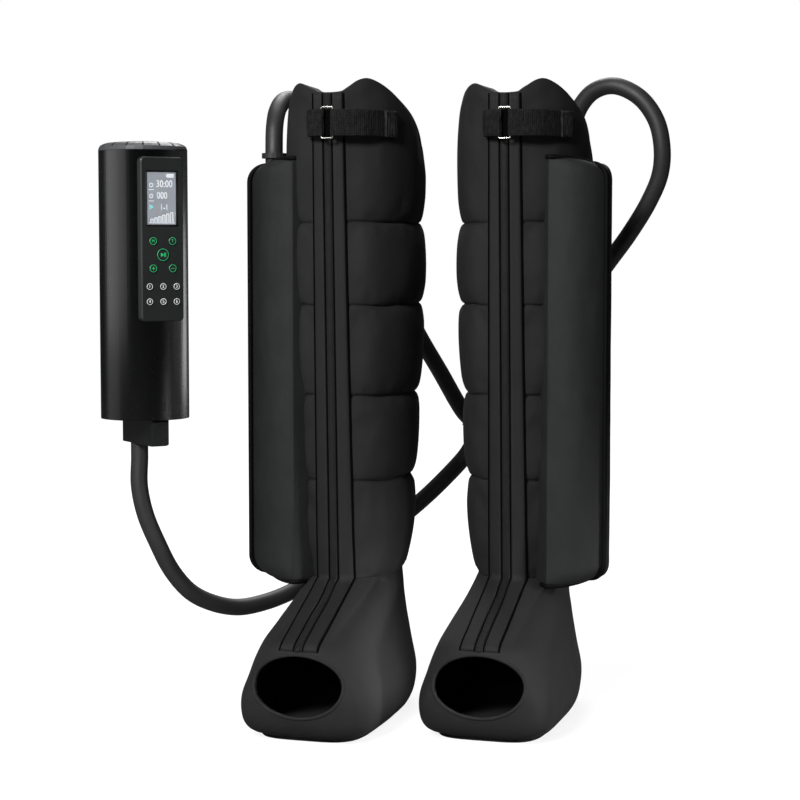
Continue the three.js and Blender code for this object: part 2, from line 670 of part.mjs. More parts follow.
function buildBoot(side, name) {
  const boot = new THREE.Group();
  const sleeve = sheet(legWall(0, CHAMBER_BULGE, WALL_ROWS, FIT), legWall(-COVER_CLOTH, 0, WALL_ROWS, FIT));
  const chamberWall = (out, puff) => legWall(out, puff, WALL_ROWS / 2, FIT + 2, 3);
  const chambers = sheet(chamberWall(-COVER_CLOTH - 2 * FIT, 0), chamberWall(-LEG_WALL, -CHAMBER_BULGE / 2));
  place(boot, name + "_leg_sleeve", sleeve, cloth);
  place(boot, name + "_leg_air_chambers", chambers, bladder);
  place(boot, name + "_foot_shell", footShell(), cloth);
  place(boot, name + "_sole_panel", solePanel(), lining);

  const taper = (top, low) => (share) => lerp(top, low, share);
  const seam = ZIP_COIL_WIDTH / 2 + FIT;
  const coilEdge = (way) => () => (way * ZIP_COIL_WIDTH) / 2;
  const coil = zipStrip(coilEdge(-1), coilEdge(1), ZIP_LIFT - ZIP_COIL_DEPTH, ZIP_LIFT);
  place(boot, name + "_zip_coil", coil, darkZip);
  for (const [way, label] of [[-1, "_zip_tape_left"], [1, "_zip_tape_right"]]) {
    const edges = [() => way * seam, taper(way * PLACKET_HALF_TOP, way * PLACKET_HALF_ANKLE)];
    place(boot, name + label, zipStrip(edges[0], edges[1], 0.5, 0.5 + TAPE_THICKNESS), cloth);
  }

  const [tiltLow, tiltHigh] = [ANKLE_Z + 110, ANKLE_Z + 480];
  const zipTilt = Math.atan2(sectionAt(tiltHigh).front - sectionAt(tiltLow).front, tiltHigh - tiltLow);
  const zip = new THREE.Group();
  zip.position.set(0, -sectionAt(SLIDER_PARK_Z).front, SLIDER_PARK_Z);
  zip.rotation.x = Math.PI / 2 + zipTilt;
  place(zip, name + "_zip_slider", zipSlider(), steel).position.z = SLIDER_BASE;
  place(zip, name + "_zip_pull", zipPull(), steel).position.z = SLIDER_BASE;
  boot.add(zip);

  place(boot, name + "_strap_ring", strapRing(), steel);
  place(boot, name + "_strap_tab", strapTab(), webbing);
  place(boot, name + "_closing_strap", closingStrap(), webbing);
  place(boot, name + "_side_cover", sideCover(side, side < 0), cloth);
  place(boot, name + "_air_pipe", airPipe(side), bladder);
  place(boot, name + "_hose_inlet", side < 0 ? coverGrommet(side) : backSocket(), piping);
  return boot;
}

product.add(buildBoot(-1, "left"));
const rightBoot = buildBoot(1, "right");
rightBoot.position.set(RIGHT_BOOT_X, RIGHT_BOOT_Y, 0);
product.add(rightBoot);

// Controller, drawn about its own axis with its panel facing -Y
const CASE_TOP_Z = CONTROLLER_BOTTOM_Z + CONTROLLER_BODY_HEIGHT;
const CASE_INSIDE = CONTROLLER_RADIUS - CASE_WALL;
const PANEL_FACE = CONTROLLER_RADIUS + PANEL_PROUD;
const PANEL_BACK = PANEL_FACE - PANEL_DEPTH;
const PANEL_TOP_Z = CASE_TOP_Z - PANEL_DROP;
const WINDOW_LOW_Z = PANEL_TOP_Z - WINDOW_DROP - WINDOW_HEIGHT;
const WINDOW_CENTRE_Z = WINDOW_LOW_Z + WINDOW_HEIGHT / 2;
const LAST_ROW_DROP = Math.max(...BUTTONS.map(([, , drop]) => drop));
const PANEL_HEIGHT = WINDOW_DROP + WINDOW_HEIGHT + LAST_ROW_DROP + LAST_ROW_MARGIN;
const PANEL_CENTRE_Z = PANEL_TOP_Z - PANEL_HEIGHT / 2;
const PLUG_LENGTH = 2 * (CONTROLLER_RADIUS - PLUG_INSET);
const BASE_THICKNESS = 3;
const SHELF_Z = CONTROLLER_BOTTOM_Z + BASE_THICKNESS;
const SOCKET_WALL = 3;
const SOCKET_HEIGHT = PLUG_SPIGOT + 6;
const FRAME_INSET = 10.5;
const FRAME_DEPTH = CONTROLLER_RADIUS - FRAME_INSET;
const FRAME_THICKNESS = 2;
const BOARD_THICKNESS = 1.6;
const CASE_OPENING_WIDTH = PANEL_WIDTH - 6;

// Half of the case wall in plan: the front half lies towards -Y
function halfCase(way) {
  const shape = new THREE.Shape();
  const seam = (radius) => Math.asin(FIT / 2 / radius);
  const start = (radius) => (way < 0 ? Math.PI + seam(radius) : seam(radius));
  const end = (radius) => start(radius) + Math.PI - 2 * seam(radius);
  shape.absarc(0, 0, CONTROLLER_RADIUS, start(CONTROLLER_RADIUS), end(CONTROLLER_RADIUS));
  shape.absarc(0, 0, CASE_INSIDE, end(CASE_INSIDE), start(CASE_INSIDE), true);
  return prism(shape, CONTROLLER_BOTTOM_Z, CASE_TOP_Z, 22);
}

function frontShell() {
  const opening = block(CASE_OPENING_WIDTH, 30, PANEL_HEIGHT - 8, 0, -CONTROLLER_RADIUS, PANEL_CENTRE_Z);
  return cut(halfCase(-1), opening);
}

// The charging socket sits low in the middle of the rear half
const CHARGE_WIDTH = 12;
const CHARGE_HEIGHT = 7;
const CHARGE_Z = CONTROLLER_BOTTOM_Z + 24;

function rearShell() {
  return cut(halfCase(1), block(CHARGE_WIDTH, 20, CHARGE_HEIGHT, 0, CONTROLLER_RADIUS, CHARGE_Z));
}

function chargeSocket() {
  const deep = 7;
  const front = CONTROLLER_RADIUS - 0.8;
  const body = block(CHARGE_WIDTH - 2 * FIT, deep, CHARGE_HEIGHT - 2 * FIT, 0, front - deep / 2, CHARGE_Z);
  return cut(body, block(CHARGE_WIDTH - 3, deep, CHARGE_HEIGHT - 3.6, 0, front, CHARGE_Z));
}

// The cap turns in from the case wall over a round bevel, with a ring of small air slots in the bevel
function topCap() {
  const low = CASE_TOP_Z + FIT;
  const bevel = Array.from({ length: 5 }, (_, i) => {
    const angle = (i * Math.PI) / 8;
    return new THREE.Vector2(
      CONTROLLER_RADIUS - 16 * (1 - Math.cos(angle)),
      low + 1.5 + (CAP_HEIGHT - 3) * Math.sin(angle),
    );
  });
  const profile = [
    new THREE.Vector2(0, low), new THREE.Vector2(CASE_INSIDE - 3, low),
    new THREE.Vector2(CASE_INSIDE - 3, low - 6), new THREE.Vector2(CASE_INSIDE - FIT, low - 6),
    new THREE.Vector2(CASE_INSIDE - FIT, low), new THREE.Vector2(CONTROLLER_RADIUS, low),
    ...bevel, new THREE.Vector2(20, low + CAP_HEIGHT - 0.4), new THREE.Vector2(0, low + CAP_HEIGHT),
  ];
  const cap = solid(new THREE.LatheGeometry(profile, 32).rotateX(Math.PI / 2));
  const slots = Array.from({ length: CAP_NOTCHES }, (_, i) => {
    const slot = new THREE.BoxGeometry(1.6, 9, 5);
    slot.rotateX(rad(-32)).translate(0, -CONTROLLER_RADIUS + 7, low + CAP_HEIGHT - 1.2);
    return solid(slot.rotateZ((i * 2 * Math.PI) / CAP_NOTCHES));
  });
  return cut(cap, ...slots);
}

// The base closes the case and holds the socket that the air plug pushes into
function baseSocket() {
  const wide = PLUG_WIDTH - 6;
  const long = PLUG_LENGTH - 8;
  const disc = post(CASE_INSIDE - FIT, CONTROLLER_BOTTOM_Z, SHELF_Z, 0, 0, 40);
  const middle = SHELF_Z + SOCKET_HEIGHT / 2 - 0.5;
  const box = block(wide + 2 * SOCKET_WALL, long + 2 * SOCKET_WALL - 4, SOCKET_HEIGHT, 0, 0, middle);
  const hollow = block(wide, long, PLUG_SPIGOT + 6, 0, 0, CONTROLLER_BOTTOM_Z + (PLUG_SPIGOT + 6) / 2 - 2);
  return cut(join(disc, box), hollow);
}

function airPlug() {
  const outline = new THREE.Shape();
  const half = PLUG_WIDTH / 2;
  const top = CONTROLLER_BOTTOM_Z - FIT;
  const low = CONTROLLER_BOTTOM_Z - PLUG_HEIGHT;
  outline.moveTo(-half, top);
  outline.lineTo(-half, low);
  outline.lineTo(half, low);
  outline.lineTo(half, top);
  const options = {
    depth: PLUG_LENGTH - 4, bevelEnabled: true, bevelThickness: 2, bevelSize: 2, bevelOffset: -2,
    bevelSegments: 1, curveSegments: 4,
  };
  const body = new THREE.ExtrudeGeometry(outline, options);
  body.translate(0, 0, 2 - PLUG_LENGTH / 2).rotateX(Math.PI / 2);
  const spigot = block(
    PLUG_WIDTH - 6 - 2 * FIT, PLUG_LENGTH - 8 - 2 * FIT, PLUG_SPIGOT, 0, 0, top + PLUG_SPIGOT / 2 - 1,
  );
  const corner = new THREE.BoxGeometry(40, 40, 14).rotateX(rad(-20)).rotateY(rad(-24));
  corner.translate(half + 6, -PLUG_LENGTH / 2, low - 3);
  const ports = [];
  for (let row = 0; row < 2; row++) {
    for (let column = 0; column < 6; column++) {
      const y = (column - 2.5) * 13;
      ports.push(post(1.8, top + PLUG_SPIGOT - 8, top + PLUG_SPIGOT + 2, (row - 0.5) * 6.4, y, 6));
    }
  }
  return cut(join(solid(body), spigot), solid(corner), ...ports);
}

// What the panel carries is drawn across its face and up the case, from a front to a back depth
function facePrism(shape, front, back, centreX, centreZ, segments = 4) {
  const options = { depth: back - front, bevelEnabled: false, curveSegments: segments };
  const raised = new THREE.ExtrudeGeometry(shape, options).translate(0, 0, -back);
  return solid(raised.rotateX(Math.PI / 2).translate(centreX, 0, centreZ));
}

const WINDOW_LEDGE = 1.7;
const BOARD_FRONT = FRAME_DEPTH + FIT + BOARD_THICKNESS;

function controlPanel() {
  const bevel = 1.2;
  const plate = new THREE.ExtrudeGeometry(roundedRectangle(PANEL_WIDTH, PANEL_HEIGHT, PANEL_CORNER), {
    depth: PANEL_DEPTH - 2 * bevel, bevelEnabled: true, bevelThickness: bevel, bevelSize: bevel,
    bevelOffset: -bevel, bevelSegments: 1, curveSegments: 4,
  });
  plate.translate(0, 0, PANEL_BACK + bevel).rotateX(Math.PI / 2).translate(0, 0, PANEL_CENTRE_Z);
  const seat = post(CONTROLLER_RADIUS + FIT, PANEL_TOP_Z - PANEL_HEIGHT - 5, PANEL_TOP_Z + 5, 0, 0, 64);
  const recess = facePrism(
    roundedRectangle(WINDOW_WIDTH, WINDOW_HEIGHT, 1.5), -PANEL_FACE - 1,
    -PANEL_FACE + WINDOW_THICKNESS + 0.4, 0, WINDOW_CENTRE_Z, 3,
  );
  const [seenWide, seenHigh] = [WINDOW_WIDTH - 2 * WINDOW_LEDGE, WINDOW_HEIGHT - 2 * WINDOW_LEDGE];
  const through = block(seenWide, 30, seenHigh, 0, -PANEL_FACE + 10, WINDOW_CENTRE_Z);
  const holes = BUTTONS.map(([, x, drop, radius]) => {
    return bar(radius, -PANEL_FACE - 1, -PANEL_BACK, x, WINDOW_LOW_Z - drop, 14);
  });
  return cut(solid(plate), seat, recess, through, ...holes);
}

function displayWindow() {
  const shape = roundedRectangle(WINDOW_WIDTH - 2 * FIT, WINDOW_HEIGHT - 2 * FIT, 1.2);
  const front = -PANEL_FACE + 0.1;
  return facePrism(shape, front, front + WINDOW_THICKNESS, 0, WINDOW_CENTRE_Z, 3);
}

function displayModule() {
  const front = PANEL_FACE - WINDOW_THICKNESS - 0.4;
  const wide = WINDOW_WIDTH - 2 * WINDOW_LEDGE - 2 * FIT;
  const high = WINDOW_HEIGHT - 2 * WINDOW_LEDGE - 2 * FIT;
  const depth = front - BOARD_FRONT - FIT;
  return block(wide, depth, high, 0, -front + depth / 2, WINDOW_CENTRE_Z);
}

function pushButton(radius) {
  const outer = radius - BUTTON_GAP;
  const stem = radius * 0.45;
  const front = PANEL_FACE + BUTTON_PROUD;
  const back = BOARD_FRONT + BUTTON_TRAVEL + FIT;
  const profile = [
    [0, back], [stem, back], [stem, PANEL_FACE - 3], [outer, PANEL_FACE - 3],
    [outer, front - 0.5], [outer - 0.6, front], [0, front - 0.3],
  ].map(([x, y]) => new THREE.Vector2(x, y));
  return new THREE.LatheGeometry(profile, 12).rotateX(Math.PI);
}

function circuitBoard() {
  const depth = -BOARD_FRONT + BOARD_THICKNESS / 2;
  return block(CASE_OPENING_WIDTH - 1, BOARD_THICKNESS, PANEL_HEIGHT - 12, 0, depth, PANEL_CENTRE_Z);
}

const STACK_Z = SHELF_Z + SOCKET_HEIGHT - 0.5 + FIT;
const VALVE_HEIGHT = 46;
const VALVE_COIL_HEIGHT = 18;
const BATTERY_HEIGHT = 74;
const CELL_RADIUS = 9.3;
const PUMP_HEIGHT = 62;
const PUMP_RADIUS = 17.5;
const SHELF_THICKNESS = 2;
const BATTERY_SHELF_Z = STACK_Z + VALVE_HEIGHT + VALVE_COIL_HEIGHT + 2 * FIT;
const PUMP_SHELF_Z = BATTERY_SHELF_Z + SHELF_THICKNESS + BATTERY_HEIGHT + 2 * FIT;

// The plate stands behind the board, as wide as the case allows, with shelves for the battery and the pump
function innerFrame() {
  const high = CASE_TOP_Z - 8 - STACK_Z;
  const wide = 2 * Math.sqrt((CASE_INSIDE - 0.7) ** 2 - FRAME_DEPTH ** 2);
  const plate = block(wide, FRAME_THICKNESS, high, 0, -FRAME_DEPTH + FRAME_THICKNESS / 2, STACK_Z + high / 2);
  const shelves = [BATTERY_SHELF_Z, PUMP_SHELF_Z].map((z) => {
    return block(40, 40, SHELF_THICKNESS, 0, -FRAME_DEPTH + 21, z + SHELF_THICKNESS / 2);
  });
  return join(plate, ...shelves);
}

// Two rows of solenoid valves on one manifold block
function valveManifold() {
  const body = block(46, 36, VALVE_HEIGHT, 0, 0, STACK_Z + VALVE_HEIGHT / 2);
  const coils = [];
  for (const x of [-14, 0, 14]) {
    for (const y of [-8.5, 8.5]) {
      coils.push(post(6, STACK_Z + VALVE_HEIGHT - 1, STACK_Z + VALVE_HEIGHT + VALVE_COIL_HEIGHT, x, y, 10));
    }
  }
  return join(body, ...coils);
}

function batteryPack() {
  const low = BATTERY_SHELF_Z + SHELF_THICKNESS + FIT;
  const y = -FRAME_DEPTH + 20;
  const apart = CELL_RADIUS + 0.1;
  const cells = [-apart, apart].map((x) => post(CELL_RADIUS, low, low + BATTERY_HEIGHT - FIT, x, y, 16));
  return join(...cells, block(4, 12, BATTERY_HEIGHT - 6, 0, y, low + BATTERY_HEIGHT / 2));
}

function airPump() {
  const low = PUMP_SHELF_Z + SHELF_THICKNESS + FIT;
  const y = -FRAME_DEPTH + FRAME_THICKNESS + PUMP_RADIUS + 1.5;
  const headTop = low + PUMP_HEIGHT * 0.4;
  const head = post(PUMP_RADIUS, low, headTop, 0, y, 24);
  const motor = post(PUMP_RADIUS - 4.5, headTop - 1, low + PUMP_HEIGHT, 0, y, 20);
  const outlet = post(3, low + PUMP_HEIGHT - 1, low + PUMP_HEIGHT + 6, 6, y, 10);
  return join(head, motor, outlet);
}

const controller = new THREE.Group();
controller.position.set(CONTROLLER_X, CONTROLLER_Y, 0);
controller.rotation.z = rad(CONTROLLER_YAW);
place(controller, "controller_front_shell", frontShell(), casing);
place(controller, "controller_rear_shell", rearShell(), casing);
place(controller, "controller_top_cap", topCap(), gloss);
place(controller, "controller_base_socket", baseSocket(), casing);
place(controller, "control_panel", controlPanel(), panelSkin);
place(controller, "display_window", displayWindow(), glass);
place(controller, "display_module", displayModule(), pumpGrey);
place(controller, "circuit_board", circuitBoard(), boardGreen);
place(controller, "inner_frame", innerFrame(), casing);
place(controller, "valve_manifold", valveManifold(), pumpGrey);
place(controller, "battery_pack", batteryPack(), cellBlue);
place(controller, "air_pump", airPump(), pumpGrey);
place(controller, "charge_socket", chargeSocket(), steel);
for (const [name, x, drop, radius] of BUTTONS) {
  place(controller, name, pushButton(radius), panelSkin).position.set(x, 0, WINDOW_LOW_Z - drop);
}
place(controller, "hose_plug", airPlug(), casing);
product.add(controller);

// Hoses. Their free routes were chosen by hand; each end is worked out from what it meets.
const PLUG_HOSE_REACH = -18;
const SPLITTER = new THREE.Vector3(98, 183, 305);
const SPLITTER_ARM = 22;
const ARM_TO_CONTROLLER = new THREE.Vector3(-23, -4, -36).normalize();
const ARM_TO_LEFT = new THREE.Vector3(-27, -7, 33).normalize();
const ARM_TO_RIGHT = new THREE.Vector3(45, 17, 64).normalize();

function splitter() {
  const arms = [ARM_TO_CONTROLLER, ARM_TO_LEFT, ARM_TO_RIGHT].map((way) => {
    const arm = new THREE.CylinderGeometry(HOSE_RADIUS + 1.5, HOSE_RADIUS + 2.5, SPLITTER_ARM, 12);
    arm.translate(0, SPLITTER_ARM / 2, 0);
    arm.applyQuaternion(new THREE.Quaternion().setFromUnitVectors(new THREE.Vector3(0, 1, 0), way));
    return solid(arm.translate(SPLITTER.x, SPLITTER.y, SPLITTER.z));
  });
  const hub = new THREE.SphereGeometry(HOSE_RADIUS + 2.5, 12, 6).translate(...SPLITTER.toArray());
  return join(solid(hub), ...arms);
}

// A hose end square to a splitter arm: the end itself and a point straight out from it
function armEnd(way) {
  return [SPLITTER_ARM + FIT, SPLITTER_ARM + 14].map((reach) => SPLITTER.clone().addScaledVector(way, reach));
}

function hose(points, steps) {
  const route = new THREE.CatmullRomCurve3(points.map((p) => (p.isVector3 ? p : new THREE.Vector3(...p))));
  const ring = new THREE.Shape().absarc(0, 0, HOSE_RADIUS, 0, 2 * Math.PI);
  const options = { steps, extrudePath: route, curveSegments: 4, bevelEnabled: false };
  return new THREE.ExtrudeGeometry(ring, options);
}

const CONTROLLER_HOSE_ROUTE = [
  [-246, -62, 255], [-240, -60, 222], [-228, -54, 188], [-213, -45, 153], [-195, -32, 127],
  [-175, -13, 112], [-154, 12, 104], [-132, 42, 106], [-109, 77, 115], [-77, 112, 135],
  [-37, 140, 166], [2, 160, 198], [40, 173, 233],
];
const LEFT_HOSE_ROUTE = [
  [-84, -41, 666], [-88, -21, 686], [-91, 12, 700], [-89, 57, 701], [-80, 101, 688],
  [-67, 134, 654], [-47, 151, 594], [-21, 161, 521], [3, 167, 461], [25, 170, 419], [49, 174, 378],
];
const RIGHT_HOSE_ROUTE = [
  [147, 202, 375], [183, 215, 426], [223, 215, 478], [252, 200, 513], [281, 183, 548], [306, 170, 585],
  [320, 162, 616], [323, 156, 646], [316, 154, 678], [296, 154, 705], [266, 157, 719], [240, 164, 714],
  [222, 170, 696], [213, 174, 672], [210, 176, 646],
];
const HOSE_STEPS = 23;

// Where a hose leaves the plug's underside, the left cover's pipe and the right boot's back socket
const plugEnd = new THREE.Vector3(0, -PLUG_HOSE_REACH, CONTROLLER_BOTTOM_Z - PLUG_HEIGHT - FIT)
  .applyAxisAngle(new THREE.Vector3(0, 0, 1), rad(CONTROLLER_YAW))
  .add(new THREE.Vector3(CONTROLLER_X, CONTROLLER_Y, 0));
const pipeEnd = new THREE.Vector3(0, -PIPE_REACH, PIPE_TOP_Z + FIT)
  .applyAxisAngle(new THREE.Vector3(0, 0, 1), -rad(COVER_ANGLE));
const socketMouth = new THREE.Vector3(BACK_SOCKET_X, BACK_SOCKET_Y, BACK_SOCKET_Z + FIT);
const socketEnd = rightBoot.position.clone().add(socketMouth);
const along = (end, ...reaches) => reaches.map((reach) => end.clone().add(new THREE.Vector3(0, 0, reach)));

const [armFromController, armFromLeft] = [ARM_TO_CONTROLLER, ARM_TO_LEFT].map((arm) => armEnd(arm).reverse());
const hoses = {
  controller_hose: [...along(plugEnd, 0, -18), ...CONTROLLER_HOSE_ROUTE, ...armFromController],
  left_hose: [...along(pipeEnd, 0, 14, 32), ...LEFT_HOSE_ROUTE, ...armFromLeft],
  right_hose: [...armEnd(ARM_TO_RIGHT), ...RIGHT_HOSE_ROUTE, ...along(socketEnd, 14, 0)],
};
place(product, "hose_splitter", splitter(), piping);
for (const [name, points] of Object.entries(hoses)) {
  place(product, name, hose(points, HOSE_STEPS), hoseSkin);
}

product.name = "air_compression_leg_massager";
export default product;
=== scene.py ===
"""Looks of the air compression leg massager: two padded boots, hoses and a hand controller."""

import math

import bmesh
import bpy
from mathutils import Matrix, Vector, noise


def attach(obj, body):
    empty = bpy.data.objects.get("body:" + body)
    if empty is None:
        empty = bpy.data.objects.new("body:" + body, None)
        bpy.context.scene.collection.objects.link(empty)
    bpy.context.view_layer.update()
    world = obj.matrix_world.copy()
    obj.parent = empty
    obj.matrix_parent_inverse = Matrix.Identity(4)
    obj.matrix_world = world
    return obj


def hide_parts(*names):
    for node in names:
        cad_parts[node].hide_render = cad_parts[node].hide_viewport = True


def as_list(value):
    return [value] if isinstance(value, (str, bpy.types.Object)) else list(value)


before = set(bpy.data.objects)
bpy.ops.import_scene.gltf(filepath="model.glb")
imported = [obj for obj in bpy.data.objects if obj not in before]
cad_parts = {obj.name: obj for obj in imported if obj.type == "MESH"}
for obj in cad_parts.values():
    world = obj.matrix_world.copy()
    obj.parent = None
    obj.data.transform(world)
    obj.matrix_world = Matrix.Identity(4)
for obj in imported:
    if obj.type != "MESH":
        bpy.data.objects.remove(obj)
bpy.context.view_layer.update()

MM = 0.001
BOOTS = {"left": Vector((0, 0, 0)), "right": Vector((0.184, 0.058, 0.0))}

# camera, at the photograph's place
camera = bpy.data.objects.new("camera", bpy.data.cameras.new("camera"))
bpy.context.collection.objects.link(camera)
camera.location = (0.7388, -2.1786, 0.524)
CAMERA_TARGET = Vector((0.0472, 0.0149, 0.355))
camera.rotation_mode = "QUATERNION"
camera.rotation_quaternion = (CAMERA_TARGET - camera.location).to_track_quat("-Z", "Y")
camera.data.lens = 90.2
camera.data.sensor_width = 36
camera.data.clip_start = 0.05
camera.data.clip_end = 100
bpy.context.scene.camera = camera


# helpers
def link(obj):
    bpy.context.collection.objects.link(obj)
    return obj


def shade(mesh, smooth=True):
    mesh.polygons.foreach_set("use_smooth", [smooth] * len(mesh.polygons))


def mesh_object(name, points, faces, smooth=True):
    mesh = bpy.data.meshes.new(name)
    mesh.from_pydata([tuple(point) for point in points], [], faces)
    mesh.validate()
    work = bmesh.new()
    work.from_mesh(mesh)
    bmesh.ops.remove_doubles(work, verts=work.verts, dist=1e-6)
    bmesh.ops.recalc_face_normals(work, faces=work.faces)
    work.to_mesh(mesh)
    work.free()
    shade(mesh, smooth)
    return link(bpy.data.objects.new(name, mesh))


def baked_mesh(obj):
    """The mesh that an object's modifiers, or its curve or text, come out as."""
    graph = bpy.context.evaluated_depsgraph_get()
    graph.update()
    return bpy.data.meshes.new_from_object(obj.evaluated_get(graph))


def apply_modifiers(obj):
    mesh = baked_mesh(obj)
    obj.modifiers.clear()
    obj.data = mesh
    return obj


def as_mesh(obj, smooth=True):
    """A curve or text turned into a mesh object of the same name."""
    mesh = baked_mesh(obj)
    name = obj.name
    bpy.data.objects.remove(obj)
    shade(mesh, smooth)
    return link(bpy.data.objects.new(name, mesh))


def paint(obj, material):
    obj.data.materials.clear()
    obj.data.materials.append(material)
    return obj


def finish_piece(obj, material, body, slot, replaces=()):
    paint(obj, material)
    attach(obj, body)
    if replaces:
        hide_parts(*replaces)
    return obj


def lerp(a, b, t):
    return a + (b - a) * t


def smoothstep(value, low, high):
    t = min(1.0, max(0.0, (value - low) / (high - low)))
    return t * t * (3 - 2 * t)


def grid_faces(rows, columns, closed=False, offset=0, flip=False):
    faces = []
    for row in range(rows - 1):
        for column in range(columns if closed else columns - 1):
            after = (column + 1) % columns
            low = offset + row * columns
            high = low + columns
            quad = (low + column, low + after, high + after, high + column)
            faces.append(quad[::-1] if flip else quad)
    return faces


def catmull_rom(points, per_span):
    """A smooth line through points, as the CAD hoses follow it."""
    points = [Vector(p) for p in points]
    ends = [points[0] * 2 - points[1], *points, points[-1] * 2 - points[-2]]
    line = []
    for i in range(1, len(ends) - 2):
        p = ends[i - 1:i + 3]
        knots = [0.0]
        for a, b in zip(p, p[1:]):
            knots.append(knots[-1] + (b - a).length ** 0.5)
        for step in range(per_span):
            t = lerp(knots[1], knots[2], step / per_span)
            share = lambda low, high: (t - knots[low]) / (knots[high] - knots[low])
            a = [lerp(p[k], p[k + 1], share(k, k + 1)) for k in range(3)]
            b = [lerp(a[k], a[k + 1], share(k, k + 2)) for k in range(2)]
            line.append(lerp(b[0], b[1], share(1, 2)))
    line.append(points[-1])
    return line


def places_along(line, start, gap):
    """Even steps along a line of points with normals: place, way on, both normals, share."""
    travelled = 0.0
    target = start
    for (a, normal_a), (b, normal_b) in zip(line, line[1:]):
        step = (b - a).length
        along = (b - a) / step
        while target < travelled + step:
            done = target - travelled
            yield a + along * done, along, (normal_a, normal_b), done / step
            target += gap
        travelled += step


def tube(name, line, radius, sides, closed=False):
    """A round cord of piping or wire along a line, as a mesh."""
    curve = bpy.data.curves.new(name, "CURVE")
    curve.dimensions = "3D"
    curve.bevel_depth = radius
    curve.bevel_resolution = sides
    curve.use_fill_caps = True
    spline = curve.splines.new("POLY")
    spline.points.add(len(line) - 1)
    for point, place in zip(spline.points, line):
        point.co = (*place, 1)
    spline.use_cyclic_u = closed
    return link(bpy.data.objects.new(name, curve))


# materials
WAVE_SCALE = 0.314  # the scale at which a wave texture repeats every metre


class Nodes:
    """A material with its shader and short ways to add nodes."""

    def __init__(self, name, colour, roughness, **sockets):
        self.material = bpy.data.materials.new(name)
        self.material.use_nodes = True
        self.tree = self.material.node_tree
        self.shader = self.tree.nodes["Principled BSDF"]
        self.shader.inputs["Base Color"].default_value = (*colour, 1)
        self.shader.inputs["Roughness"].default_value = roughness
        for key, value in sockets.items():
            self.shader.inputs[key.replace("_", " ")].default_value = value
        self.place = self.tree.nodes.new("ShaderNodeTexCoord")
        self.height = None

    def add(self, kind, **values):
        node = self.tree.nodes.new(kind)
        for key, value in values.items():
            if key in node.inputs:
                node.inputs[key].default_value = value
            else:
                setattr(node, key, value)
        return node

    def wire(self, a, b):
        self.tree.links.new(a, b)

    def noise(self, scale, detail=3.0, stretch=(1, 1, 1)):
        mapping = self.add("ShaderNodeMapping")
        mapping.inputs["Scale"].default_value = stretch
        texture = self.add("ShaderNodeTexNoise", Scale=scale, Detail=detail)
        self.wire(self.place.outputs["Object"], mapping.inputs["Vector"])
        self.wire(mapping.outputs["Vector"], texture.inputs["Vector"])
        return texture.outputs["Fac"]

    def weave(self, size):
        """Crossed threads of one size, in metres."""
        waves = []
        for direction in ("Z", "X"):
            wave = self.add("ShaderNodeTexWave", Scale=WAVE_SCALE / size, bands_direction=direction)
            self.wire(self.place.outputs["Object"], wave.inputs["Vector"])
            waves.append(wave.outputs["Fac"])
        both = self.add("ShaderNodeMath", operation="MULTIPLY")
        self.wire(waves[0], both.inputs[0])
        self.wire(waves[1], both.inputs[1])
        return both.outputs[0]

    def tint(self, fac, dark, light, low=0.3, high=0.7):
        """Varies the base colour between two tones."""
        ramp = self.add("ShaderNodeValToRGB")
        ramp.color_ramp.elements[0].position = low
        ramp.color_ramp.elements[1].position = high
        ramp.color_ramp.elements[0].color = (*dark, 1)
        ramp.color_ramp.elements[1].color = (*light, 1)
        self.wire(fac, ramp.inputs["Fac"])
        self.wire(ramp.outputs["Color"], self.shader.inputs["Base Color"])

    def gloss(self, fac, low, high):
        spread = self.add("ShaderNodeMapRange")
        spread.inputs["To Min"].default_value = low
        spread.inputs["To Max"].default_value = high
        self.wire(fac, spread.inputs["Value"])
        self.wire(spread.outputs["Result"], self.shader.inputs["Roughness"])

    def bump(self, fac, distance, strength):
        bump = self.add("ShaderNodeBump", Strength=strength, Distance=distance)
        self.wire(fac, bump.inputs["Height"])
        if self.height is not None:
            self.wire(self.height, bump.inputs["Normal"])
        self.height = bump.outputs["Normal"]
        self.wire(self.height, self.shader.inputs["Normal"])


def cloth_material(name, dark, light, roughness=0.8, weave=0.0009, specular=0.42):
    made = Nodes(name, light, roughness, Specular_IOR_Level=specular)
    made.tint(made.noise(28, 4), dark, light)
    made.bump(made.noise(45, 3), 0.0012, 0.35)
    made.bump(made.noise(260, 3, (1, 1, 2.5)), 0.0004, 0.35)
    made.bump(made.weave(weave), 0.00012, 0.6)
    return made.material


def webbing_material(name, dark, light, specular):
    """Coarse woven band: mottled threads with ribs across it."""
    made = Nodes(name, light, 0.8, Specular_IOR_Level=specular)
    made.tint(made.noise(330, 6, (1, 1, 0.45)), dark, light, 0.36, 0.66)
    made.bump(made.noise(300, 5, (1, 1, 0.5)), 0.0014, 0.8)
    made.bump(made.weave(0.0018), 0.0006, 1.0)
    return made.material


def plastic_material(name, dark, light, roughness, specular=0.5, grain=0.00002, uneven=(0.85, 1.2)):
    made = Nodes(name, light, roughness, Specular_IOR_Level=specular)
    made.tint(made.noise(14, 4), dark, light)
    made.gloss(made.noise(90, 4), roughness * uneven[0], min(1.0, roughness * uneven[1]))
    made.bump(made.noise(1600, 2), grain, 0.6)
    return made.material


def metal_material(name, dark, light, roughness):
    made = Nodes(name, light, roughness, Metallic=1.0)
    made.tint(made.noise(160, 4), dark, light)
    made.gloss(made.noise(600, 3, (1, 1, 6)), roughness * 0.7, roughness * 1.5)
    made.bump(made.noise(900, 3), 0.00003, 0.5)
    return made.material


